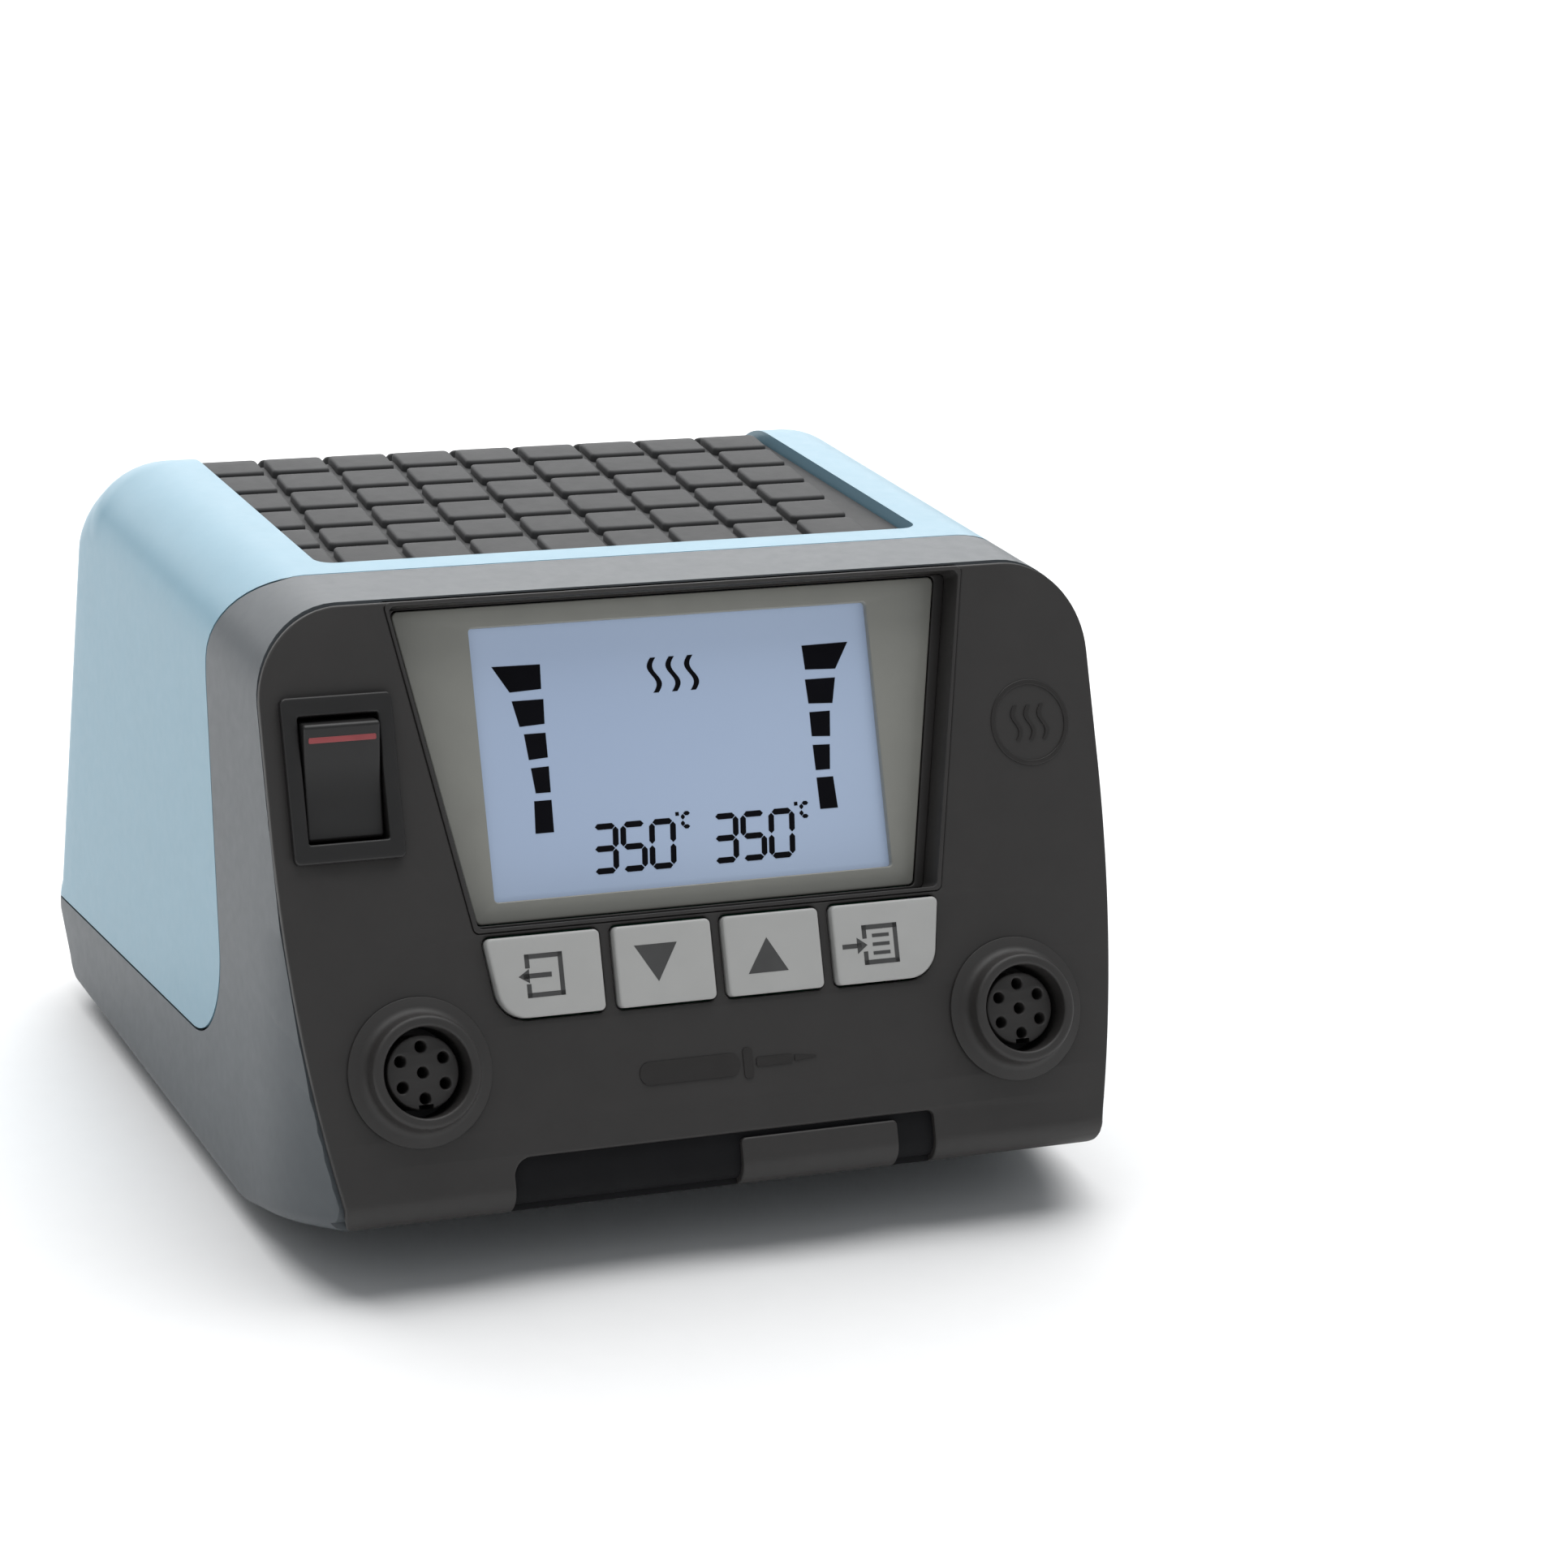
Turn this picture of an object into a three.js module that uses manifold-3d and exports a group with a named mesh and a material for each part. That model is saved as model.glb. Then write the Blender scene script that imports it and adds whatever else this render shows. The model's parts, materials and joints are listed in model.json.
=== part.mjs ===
// Two-channel soldering iron station: the control unit, as a standalone three.js model.
// Millimetres, +Z up. The origin is the centre of the footprint at table height, the operating
// face looks towards -Y and +X is to the right of someone who faces it.
import * as THREE from "three";
import { mergeVertices } from "three/addons/utils/BufferGeometryUtils.js";
import Module from "manifold-3d";

const wasm = await Module();
wasm.setup();

// ---- Driving dimensions -------------------------------------------------------------------
const WIDTH = 141;
const DEPTH = 149;
const HEIGHT = 101;
const UNDERSIDE = 3; // height of the shell's flat underside, which the feet hold up
const WALL = 2.5;
const GAP = 0.35; // clearance between neighbouring pieces
const FACET = { angle: 13, smallAngle: 30, smallRadius: 5 }; // degrees per facet on corners

const FACE_LEAN = 22.5; // the operating face leans back this far from upright
const BACK_LEAN = 8; // the back leans forward this far
const RAMP = 14.4; // the front of the underside rises this steeply towards the nose
const NOSE = { radius: 4, height: 15.2 }; // rounded edge where the face meets the underside
const KNEE = { radius: 10, height: 19 }; // rounded edge low on the back
const TOP_BACK_RADIUS = 18;
const TOP_SIDE_RADIUS = 14;
const FRONT_PLAN = { radius: 45, tangentY: -52 }; // the sides curve in towards the face from here

const PANEL = { skin: 1.2, thickness: 3, margin: 3.4 };
const RECESS = { top: 108.6, bottom: 57.9, halfTop: 48.7, halfBottom: 39.1, depth: 5.2, wall: 0.7 };
const BEZEL = { top: 108.2, bottom: 58.6, halfTop: 46.6, halfBottom: 37.4, thickness: 1.2 };
const LCD = { halfWidth: 34.1, bottom: 61.9, top: 104.8, border: 1.4, thickness: 2.5 };
const KEY = { bottom: 43.6, top: 56.3, proud: 1.2, slant: 1.9, corner: 5, flange: 0.6 };
const KEY_SPANS = { exit: [-38.6, -19.8], down: [-17.4, -1.1], up: [1.1, 17.4], menu: [19.8, 38.6] };
const ROCKER = { x: -58.7, s: 82.8, halfWidth: 6.1, halfLength: 9.4, throw: 11, pivot: -1.5 };
const ROCKER_FRAME = { halfWidth: 8.9, halfHeight: 12.8, flange: 0.9, depth: 16 };
const SOCKET = { x: 50.8, s: 37, ring: 8.6, bore: 7, barrel: 8, boss: 5.8, flange: 11.6, proud: 4.2 };
const SOCKET_DEPTH = 14;
const CONTACTS = { circle: 4, radius: 0.85, depth: 6, count: 6 };
const NOTCH = { left: -37, right: 34.5, top: 22.3, depth: 1, tongue: [1, 28], tongueTop: 21.4 };
const MAT = { halfWidth: 52.4, front: -16.6, depth: 4.6, sunk: 0.7, wrap: 52 }; // wrap in degrees
const TILE = { x: 11.6, y: 11.3, start: [-1.8, 1], slant: 0.105, columns: [-4, 4], depth: 1.4 };
const GROOVE = { side: 1.5, front: 1.9 };
const FEET = { radius: 7, stem: 2.2, x: 54, front: -24, back: 48 };
const BACK_WINDOW = { halfWidth: 54, bottom: 24, top: 66 };
const INLET = { centre: 30, depth: 22, floor: -16 };
const BOARD = { left: -50, right: 60, front: -6, back: 42, z: 58.4, thickness: 1.6 };
const TOROID = { x: 8, y: 14, outer: 39, inner: 13, height: 34 };

// ---- Colours ------------------------------------------------------------------------------
const FINISH = {
  housing: { color: 0x5f5f63, roughness: 0.5 },
  cover: { color: 0xa9cfdb, roughness: 0.45 },
  panel: { color: 0x34312f, roughness: 0.55 },
  rubber: { color: 0x4a4a4a, roughness: 0.8 },
  bezel: { color: 0x7c7b73, roughness: 0.4 },
  lcd: { color: 0x9ba9c4, roughness: 0.2 },
  key: { color: 0xbdbcb8, roughness: 0.5 },
  black: { color: 0x1d1d1f, roughness: 0.45 },
  board: { color: 0x1f5c37, roughness: 0.5 },
  steel: { color: 0xb8babd, roughness: 0.3, metalness: 1 },
  brass: { color: 0xc8a95a, roughness: 0.3, metalness: 1 },
  aluminium: { color: 0xb4b6b8, roughness: 0.4, metalness: 1 },
  winding: { color: 0xc9a13a, roughness: 0.6 },
  white: { color: 0xe8e6df, roughness: 0.5 },
  ribbon: { color: 0x9a9a9e, roughness: 0.6 },
  brown: { color: 0x6b4328, roughness: 0.5 },
  blue: { color: 0x3f6fb0, roughness: 0.5 },
};

const rad = THREE.MathUtils.degToRad;
const group = new THREE.Group();

// ---- Solids -------------------------------------------------------------------------------
// A closed three.js geometry as a manifold solid.
function solid(geometry) {
  const bare = geometry.index ? geometry.toNonIndexed() : geometry.clone();
  for (const name of ["normal", "uv"]) bare.deleteAttribute(name);
  const merged = mergeVertices(bare, 1e-4);
  const vertProperties = new Float32Array(merged.attributes.position.array);
  const triVerts = new Uint32Array(merged.index.array);
  return new wasm.Manifold(new wasm.Mesh({ numProp: 3, vertProperties, triVerts }));
}

const join = (...pieces) => pieces.reduce((all, piece) => all.add(piece));
const cut = (body, ...tools) => tools.reduce((left, tool) => left.subtract(tool), body);

// Adds a solid to the model as one named mesh.
function add(name, body, finish) {
  const { numProp, vertProperties, triVerts } = body.getMesh();
  const geometry = new THREE.BufferGeometry();
  geometry.setAttribute("position", new THREE.BufferAttribute(vertProperties, numProp));
  geometry.setIndex(new THREE.BufferAttribute(triVerts, 1));
  geometry.computeVertexNormals();
  const mesh = new THREE.Mesh(geometry, new THREE.MeshStandardMaterial(FINISH[finish]));
  mesh.name = name;
  group.add(mesh);
}

// ---- Frames: the model's own, the leaning face's and the leaning back's -------------------------
// On the face: x to the right, y up the slope from table height, z out of the face.
const nose = new THREE.Vector2(-DEPTH / 2 + NOSE.radius, NOSE.height);
const knee = new THREE.Vector2(DEPTH / 2 - KNEE.radius, KNEE.height);

function lineThrough(centre, radius, faces) {
  const out = new THREE.Vector2(Math.cos(rad(faces)), Math.sin(rad(faces)));
  return centre.clone().addScaledVector(out, radius);
}

// Where the side with the given direction crosses table height.
function crossing(point, faces) {
  return point.x + point.y * Math.tan(rad(faces));
}

const FACE_DIRECTION = 180 - FACE_LEAN;
const facePoint = lineThrough(nose, NOSE.radius, FACE_DIRECTION);
const backPoint = lineThrough(knee, KNEE.radius, BACK_LEAN);
const FACE = new THREE.Matrix4()
  .makeTranslation(0, crossing(facePoint, -FACE_LEAN), 0)
  .multiply(new THREE.Matrix4().makeRotationX(rad(90 - FACE_LEAN)));
const BACK = new THREE.Matrix4()
  .makeTranslation(0, crossing(backPoint, BACK_LEAN), 0)
  .multiply(new THREE.Matrix4().makeRotationZ(Math.PI))
  .multiply(new THREE.Matrix4().makeRotationX(rad(90 - BACK_LEAN)));
const HERE = new THREE.Matrix4();

// ---- Primitive shapes ---------------------------------------------------------------------
function box(x, y, z, frame = HERE) {
  const geometry = new THREE.BoxGeometry(x[1] - x[0], y[1] - y[0], z[1] - z[0]);
  geometry.translate((x[0] + x[1]) / 2, (y[0] + y[1]) / 2, (z[0] + z[1]) / 2);
  return solid(geometry.applyMatrix4(frame));
}

function prism(shape, z, frame = HERE) {
  const geometry = new THREE.ExtrudeGeometry(shape, {
    depth: z[1] - z[0],
    bevelEnabled: false,
    curveSegments: 4,
  });
  geometry.translate(0, 0, z[0]);
  return solid(geometry.applyMatrix4(frame));
}

function disc(centre, radius, z, frame = HERE, segments = 24) {
  const geometry = new THREE.CylinderGeometry(radius, radius, z[1] - z[0], segments);
  geometry.rotateX(Math.PI / 2);
  geometry.translate(centre[0], centre[1], (z[0] + z[1]) / 2);
  return solid(geometry.applyMatrix4(frame));
}

// A ring or a round body from its half section, a list of [radius, height].
function turned(section, centre, frame = HERE, segments = 32) {
  const points = section.map(([radius, height]) => new THREE.Vector2(radius, height));
  const geometry = new THREE.LatheGeometry(points, segments);
  geometry.rotateX(Math.PI / 2);
  geometry.translate(centre[0], centre[1], 0);
  return solid(geometry.applyMatrix4(frame));
}

// A straight-sided convex outline with rounded corners. Each side has the direction it faces in
// degrees, a point it passes through and the radius of the corner after it; sides go anticlockwise.
function outline(sides, inset = 0) {
  const lines = sides.map(({ faces, through, radius }) => {
    const out = new THREE.Vector2(Math.cos(rad(faces)), Math.sin(rad(faces)));
    return { out, faces, reach: out.dot(through) - inset, radius: Math.max(radius - inset, 0) };
  });
  const points = [];
  lines.forEach((side, i) => {
    const next = lines[(i + 1) % lines.length];
    const cross = side.out.cross(next.out);
    const corner = new THREE.Vector2(
      (side.reach * next.out.y - next.reach * side.out.y) / cross,
      (next.reach * side.out.x - side.reach * next.out.x) / cross,
    );
    if (side.radius === 0) {
      points.push(corner);
      return;
    }
    const turn = (next.faces - side.faces + 720) % 360;
    const inward = side.out.clone().add(next.out).normalize();
    const centre = corner.addScaledVector(inward, -side.radius / Math.cos(rad(turn / 2)));
    const steps = Math.ceil(turn / (side.radius > FACET.smallRadius ? FACET.angle : FACET.smallAngle));
    for (let k = 0; k <= steps; k += 1) {
      const angle = rad(side.faces + (turn * k) / steps);
      const spoke = new THREE.Vector2(Math.cos(angle), Math.sin(angle));
      points.push(centre.clone().addScaledVector(spoke, side.radius));
    }
  });
  return new THREE.Shape(points);
}

// A rounded rectangle as an outline.
function rectangle(x, y, radius) {
  const side = (faces, px, py) => ({ faces, through: new THREE.Vector2(px, py), radius });
  return outline([side(-90, 0, y[0]), side(0, x[1], 0), side(90, 0, y[1]), side(180, x[0], 0)]);
}

const ALONG_X = new THREE.Matrix4().makeBasis(
  new THREE.Vector3(0, 1, 0),
  new THREE.Vector3(0, 0, 1),
  new THREE.Vector3(1, 0, 0),
);
const ALONG_Y = new THREE.Matrix4().makeRotationX(Math.PI / 2);

// ---- The shell's outer form ---------------------------------------------------------------
const FAR = 200;
const at = (x, y) => new THREE.Vector2(x, y);
const SIDE_VIEW = [
  { faces: -90, through: at(0, UNDERSIDE), radius: 8 },
  { faces: -45, through: lineThrough(knee, KNEE.radius, -45), radius: KNEE.radius },
  { faces: BACK_LEAN, through: backPoint, radius: TOP_BACK_RADIUS },
  { faces: 90, through: at(0, HEIGHT), radius: 0 },
  { faces: FACE_DIRECTION, through: facePoint, radius: NOSE.radius },
  { faces: 270 - RAMP, through: lineThrough(nose, NOSE.radius, 270 - RAMP), radius: 0 },
];
const FRONT_VIEW = [
  { faces: -90, through: at(0, UNDERSIDE), radius: 3 },
  { faces: 0, through: at(WIDTH / 2, 0), radius: TOP_SIDE_RADIUS },
  { faces: 90, through: at(0, HEIGHT), radius: TOP_SIDE_RADIUS },
  { faces: 180, through: at(-WIDTH / 2, 0), radius: 3 },
];
const PLAN_VIEW = [
  { faces: -90, through: at(0, FRONT_PLAN.tangentY - FRONT_PLAN.radius), radius: FRONT_PLAN.radius },
  { faces: 0, through: at(WIDTH / 2, 0), radius: 6 },
  { faces: 90, through: at(0, DEPTH / 2), radius: 6 },
  { faces: 180, through: at(-WIDTH / 2, 0), radius: FRONT_PLAN.radius },
];

// The station's outer form, shrunk by inset all round; open, it runs on out through the face.
function form(inset = 0, open = false) {
  const sides = SIDE_VIEW.map((side) => {
    if (!open || side.faces !== FACE_DIRECTION) return side;
    return { ...side, through: lineThrough(side.through, 10, FACE_DIRECTION), radius: 0 };
  });
  const side = prism(outline(sides, inset), [-FAR, FAR], ALONG_X);
  const front = prism(outline(FRONT_VIEW, inset), [-FAR, FAR], ALONG_Y);
  const plan = prism(outline(PLAN_VIEW, inset), [-FAR, FAR]);
  return side.intersect(front).intersect(plan);
}

const OUTSIDE = form();
const INSIDE = form(WALL);
const SHELL = OUTSIDE.subtract(INSIDE);

// The half-space in front of a plane that lies this deep behind the face.
const inFront = (depth) => box([-FAR, FAR], [-FAR, FAR], [-depth, FAR], FACE);

// A polygon whose corners are [x, y, cut]: each corner is rounded off over the length cut.
function softPolygon(corners) {
  const shape = new THREE.Shape();
  corners.forEach(([x, y, cut], i) => {
    const corner = at(x, y);
    const before = at(...corners.at(i - 1)).sub(corner).normalize();
    const after = at(...corners[(i + 1) % corners.length]).sub(corner).normalize();
    const enter = corner.clone().addScaledVector(before, cut);
    const leave = corner.clone().addScaledVector(after, cut);
    if (i === 0) shape.moveTo(enter.x, enter.y);
    else shape.lineTo(enter.x, enter.y);
    if (cut > 0) shape.quadraticCurveTo(corner.x, corner.y, leave.x, leave.y);
  });
  return shape;
}

// The housing's region in the side view: the frame round the face and everything below the seam
// with the cover, which comes down behind the face, turns and runs back along the base.
const SEAM = [
  [-FAR, -FAR, 0],
  [FAR, -FAR, 0],
  [FAR, 6, 0],
  [-30.8, 24.6, 17],
  [-14.6, 93.5, 6],
  [-22.5, 100.4, 0],
  [-22.5, FAR, 0],
  [-FAR, FAR, 0],
];
const region = (shift) => {
  const corners = SEAM.map(([y, z, cut]) => [y + shift, z + shift, cut]);
  return prism(softPolygon(corners), [-FAR, FAR], ALONG_X);
};

// ---- Housing and cover --------------------------------------------------------------------
const FLOOR = UNDERSIDE + WALL;
const PILLARS = { x: [-45, 55], y: [2, 34], radius: 3.5 };
const VENT = { width: 3, length: 34, pitch: 8, count: 7 };
const SCREW = { head: 2.8, shank: 1.4, x: 60, y: [12, 36], length: 10 };
const COVER_SCREW = { x: 46, height: 78 };
const LIP = { top: 18, depth: 8 }; // the panel's edge that wraps under the nose
const TRAY_WALL = 2;

const grid = (xs, ys) => xs.flatMap((x) => ys.map((y) => [x, y]));
const FOOT_SPOTS = grid([-FEET.x, FEET.x], [FEET.front, FEET.back]);
const SCREW_SPOTS = grid([-SCREW.x, SCREW.x], SCREW.y);

const recessShape = ({ top, bottom, halfTop, halfBottom }, grow = 0) =>
  softPolygon([
    [-halfBottom - grow, bottom - grow, 0],
    [halfBottom + grow, bottom - grow, 0],
    [halfTop + grow, top + grow, 1],
    [-halfTop - grow, top + grow, 1],
  ]);

const COLLAR_BACK = -RECESS.depth - BEZEL.thickness;
const lip = (grow) => box([-FAR, FAR], [-FAR, LIP.top + grow], [-LIP.depth - grow, FAR], FACE);

function housing() {
  const frame = SHELL.intersect(region(0));
  const displayRoom = prism(recessShape(RECESS, RECESS.wall + GAP), [COLLAR_BACK - GAP, 0], FACE);
  const panelRoom = form(PANEL.margin - GAP, true);
  const body = cut(frame, inFront(PANEL.skin + GAP), lip(GAP), panelRoom, displayRoom);
  const pillars = grid(PILLARS.x, PILLARS.y).map((spot) =>
    disc(spot, PILLARS.radius, [FLOOR - 1, BOARD.z - GAP], HERE, 16),
  );
  const vents = Array.from({ length: VENT.count }, (_, i) => {
    const x = TOROID.x + (i - (VENT.count - 1) / 2) * VENT.pitch;
    const y = [TOROID.y - VENT.length / 2, TOROID.y + VENT.length / 2];
    return box([x - VENT.width / 2, x + VENT.width / 2], y, [0, FLOOR + 1]);
  });
  const through = [0, FLOOR + 1];
  const footHoles = FOOT_SPOTS.map((spot) => disc(spot, FEET.stem + GAP, through, HERE, 16));
  const screwHoles = SCREW_SPOTS.map((spot) => disc(spot, SCREW.shank + GAP, through, HERE, 12));
  return cut(join(body, ...pillars), ...vents, ...footHoles, ...screwHoles);
}

const windowShape = (grow) => {
  const x = BACK_WINDOW.halfWidth + grow;
  return rectangle([-x, x], [BACK_WINDOW.bottom - grow, BACK_WINDOW.top + grow], 3 + grow);
};

// The centre of the rounded edge between the top and the back, as seen from the side.
const backOut = at(Math.cos(rad(BACK_LEAN)), Math.sin(rad(BACK_LEAN)));
const edgeHeight = HEIGHT - TOP_BACK_RADIUS;
const edgeReach = backOut.dot(backPoint) - TOP_BACK_RADIUS - edgeHeight * backOut.y;
const BACK_EDGE = at(edgeReach / backOut.x, edgeHeight);

// The mat's space between two depths under the surface, over the top and on round the back edge,
// with its outline grown by a margin.
function matSpace(top, bottom, grow = 0) {
  const x = MAT.halfWidth + grow;
  const front = MAT.front - grow;
  const above = prism(outline(SIDE_VIEW, top), [-FAR, FAR], ALONG_X);
  const below = prism(outline(SIDE_VIEW, bottom), [-FAR, FAR], ALONG_X);
  const end = rad(MAT.wrap);
  const foot = BACK_EDGE.clone().add(at(Math.cos(end) * grow, -Math.sin(end) * grow));
  const tip = foot.clone().add(at(Math.sin(end) * FAR, Math.cos(end) * FAR));
  const sweep = new THREE.Shape([at(front, foot.y), foot, tip, at(front, FAR)]);
  const plan = prism(rectangle([-x, x], [front, FAR], 3), [0, FAR]);
  return above.subtract(below).intersect(prism(sweep, [-FAR, FAR], ALONG_X)).intersect(plan);
}

function cover() {
  const shell = SHELL.subtract(region(GAP));
  const tray = matSpace(WALL / 2, MAT.depth + TRAY_WALL, TRAY_WALL);
  const opening = matSpace(-FAR / 4, MAT.depth);
  const screwHoles = [-COVER_SCREW.x, COVER_SCREW.x].map((side) =>
    disc([side, COVER_SCREW.height], SCREW.shank + GAP, [-WALL - 1, 1], BACK, 12),
  );
  const window = prism(windowShape(0), [-20, 10], BACK);
  return cut(join(shell, tray), opening, window, ...screwHoles);
}

// The grooves that run from front to back, at a slant. The last one leaves the mat bare beside it.
function sideGrooves() {
  const reach = at(MAT.front - FAR, MAT.front + FAR);
  const [first, last] = TILE.columns;
  return Array.from({ length: last - first + 1 }, (_, i) => {
    const left = TILE.start[0] + (first + i) * TILE.x - GROOVE.side / 2;
    const right = first + i === last ? left + FAR : left + GROOVE.side;
    const slanted = (x, y) => at(x + TILE.slant * (y - MAT.front), y);
    const corners = [slanted(left, reach.x), slanted(right, reach.x), slanted(right, reach.y)];
    return prism(new THREE.Shape([...corners, slanted(left, reach.y)]), [0, FAR]);
  });
}

// The grooves that run across, over the flat top and then round the back edge.
function frontGrooves() {
  const grooves = [];
  const across = [-GROOVE.front / 2, GROOVE.front / 2];
  const radius = TOP_BACK_RADIUS - MAT.sunk;
  const length = BACK_EDGE.x + radius * rad(MAT.wrap);
  for (let line = MAT.front + TILE.start[1] + TILE.y; line < length - GROOVE.front; line += TILE.y) {
    const turn = Math.max(0, (line - BACK_EDGE.x) / radius);
    const place = new THREE.Matrix4()
      .makeTranslation(0, Math.min(line, BACK_EDGE.x), BACK_EDGE.y)
      .multiply(new THREE.Matrix4().makeRotationX(-turn));
    grooves.push(box([-FAR, FAR], across, [0, FAR], place));
  }
  return grooves;
}

// A mat of raised tiles that keeps what is put on the station from sliding.
function mat() {
  const slab = matSpace(MAT.sunk, MAT.depth - GAP, -GAP);
  const grooves = join(...sideGrooves(), ...frontGrooves());
  return slab.subtract(grooves.intersect(matSpace(0, MAT.sunk + TILE.depth, TRAY_WALL)));
}

add("lower_housing", housing(), "housing");
add("top_cover", cover(), "cover");
add("anti_slip_mat", mat(), "rubber");

// ---- Front panel --------------------------------------------------------------------------
function keyShape(name, grow = 0) {
  const [left, right] = KEY_SPANS[name];
  const end = { left: name === "exit" ? 1 : 0, right: name === "menu" ? 1 : 0 };
  const blunt = 0.6;
  const low = KEY.bottom - grow;
  const high = KEY.top + grow;
  const cutAt = (outer) => (outer ? KEY.corner : blunt);
  return softPolygon([
    [left - grow + end.left * KEY.slant, low, cutAt(end.left)],
    [right + grow - end.right * KEY.slant, low, cutAt(end.right)],
    [right + grow, high, blunt],
    [left - grow, high, blunt],
  ]);
}

const rockerSpan = (grow) => [ROCKER.x - ROCKER.halfWidth - grow, ROCKER.x + ROCKER.halfWidth + grow];
const rockerRun = (grow) => [ROCKER.s - ROCKER.halfLength - grow, ROCKER.s + ROCKER.halfLength + grow];
const ROCKER_WALL = 1.6;

function panel() {
  const skin = OUTSIDE.intersect(inFront(PANEL.skin));
  const core = form(PANEL.margin, true).intersect(inFront(PANEL.thickness)).intersect(OUTSIDE);
  const wrapped = SHELL.intersect(lip(0));
  const plate = join(skin, core, wrapped);
  const notch = box([NOTCH.left, NOTCH.right], [-FAR, NOTCH.top], [-LIP.depth, FAR], FACE);
  const tongue = box(NOTCH.tongue, [-FAR, NOTCH.tongueTop], [-FAR, FAR], FACE);
  const hollow = cut(notch, form(NOTCH.depth), tongue);
  const recess = prism(recessShape(RECESS), [-RECESS.depth, FAR], FACE);
  const collar = prism(recessShape(RECESS, RECESS.wall), [COLLAR_BACK, -PANEL.skin / 2], FACE);
  const bezelHole = prism(recessShape(BEZEL, GAP), [-FAR / 4, FAR], FACE);
  const keyHoles = Object.keys(KEY_SPANS).map((name) =>
    prism(keyShape(name, GAP), [-PANEL.thickness - 1, FAR], FACE),
  );
  const through = [-PANEL.thickness - 1, FAR];
  const socketHoles = [-SOCKET.x, SOCKET.x].map((side) =>
    disc([side, SOCKET.s], SOCKET.barrel + GAP, through, FACE),
  );
  const rockerHole = box(rockerSpan(ROCKER_WALL + GAP), rockerRun(ROCKER_WALL + GAP), through, FACE);
  const open = cut(join(plate.subtract(recess), collar), recess, bezelHole, hollow);
  return cut(open, ...keyHoles, ...socketHoles, rockerHole);
}

function bezel() {
  const frame = prism(recessShape(BEZEL), [COLLAR_BACK, -RECESS.depth], FACE);
  const view = box([-LCD.halfWidth, LCD.halfWidth], [LCD.bottom, LCD.top], [-FAR, FAR], FACE);
  return frame.subtract(view);
}

// The display stack and the control board, each a plate behind the one before it.
const LCD_FRONT = COLLAR_BACK - GAP;
const BACKLIGHT_FRONT = LCD_FRONT - LCD.thickness - GAP;
const CONTROL = { front: -13.6, thickness: 1.6, halfWidth: 40, bottom: 40, top: 106 };
const BACKLIGHT = { border: 2, thickness: 2.6 };
const CHIP = { x: [-24, -10], y: [78, 92], thickness: 1.6 };
const SWITCH = { half: 3, top: -8.2, plunger: 1.7, plungerTop: -6.5 };

function displayPlate(border, front, thickness) {
  const x = LCD.halfWidth + border;
  const y = [LCD.bottom - border, LCD.top + border];
  return box([-x, x], y, [front - thickness, front], FACE);
}

function controlBoard() {
  const { front, thickness, halfWidth, bottom, top } = CONTROL;
  const plate = rectangle([-halfWidth, halfWidth], [bottom, top], 2);
  const holes = grid([-36, 36], [44, 102]).map((spot) => disc(spot, 1.6, [-FAR / 4, 0], FACE, 12));
  return cut(prism(plate, [front - thickness, front], FACE), ...holes);
}

function key(name) {
  const [left, right] = KEY_SPANS[name];
  const middle = [(left + right) / 2, (KEY.bottom + KEY.top) / 2];
  const back = -PANEL.thickness - 1.4;
  const cap = prism(keyShape(name), [back, KEY.proud], FACE);
  const flange = prism(keyShape(name, KEY.flange), [back, back + 0.8], FACE);
  const stem = disc(middle, 2, [back - 1.2, back + 0.1], FACE, 16);
  return join(cap, flange, stem);
}

function keySwitch(name) {
  const [left, right] = KEY_SPANS[name];
  const middle = [(left + right) / 2, (KEY.bottom + KEY.top) / 2];
  const x = [middle[0] - SWITCH.half, middle[0] + SWITCH.half];
  const y = [middle[1] - SWITCH.half, middle[1] + SWITCH.half];
  const body = box(x, y, [CONTROL.front + GAP, SWITCH.top], FACE);
  const plunger = disc(middle, SWITCH.plunger, [SWITCH.top - 0.1, SWITCH.plungerTop], FACE, 16);
  return join(body, plunger);
}

add("front_panel", panel(), "panel");
add("display_bezel", bezel(), "bezel");
add("lcd_glass", displayPlate(LCD.border, LCD_FRONT, LCD.thickness), "lcd");
add("lcd_backlight", displayPlate(BACKLIGHT.border, BACKLIGHT_FRONT, BACKLIGHT.thickness), "white");
add("control_board", controlBoard(), "board");
const chipBack = CONTROL.front - CONTROL.thickness - GAP;
add("controller_chip", box(CHIP.x, CHIP.y, [chipBack - CHIP.thickness, chipBack], FACE), "black");
for (const name of Object.keys(KEY_SPANS)) {
  add(`key_${name}`, key(name), "key");
  add(`tact_switch_${name}`, keySwitch(name), "black");
}

// ---- Mains rocker -------------------------------------------------------------------------
// The paddle is drawn level, along the slope (x) and out of the face (y), about its pivot, and is
// then tipped by the throw, so that its upper end stands out of the frame.
const TRUNNION = { radius: 1.1, reach: 0.7 };
const MARKER = { offset: 6.6, halfWidth: 5.8, halfHeight: 0.5, seat: 1.55, top: 2.75 };
const ROCKER_PIVOT = new THREE.Matrix4()
  .copy(FACE)
  .multiply(new THREE.Matrix4().makeTranslation(ROCKER.x, ROCKER.s, ROCKER.pivot))
  .multiply(new THREE.Matrix4().makeRotationX(rad(ROCKER.throw)));
const ALONG_PIVOT = new THREE.Matrix4().multiplyMatrices(ROCKER_PIVOT, ALONG_X);

function markerSlot(grow) {
  const x = MARKER.halfWidth + grow;
  const y = [MARKER.offset - MARKER.halfHeight - grow, MARKER.offset + MARKER.halfHeight + grow];
  return box([-x, x], y, [MARKER.seat - grow, MARKER.top + 0.35], ROCKER_PIVOT);
}

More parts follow.
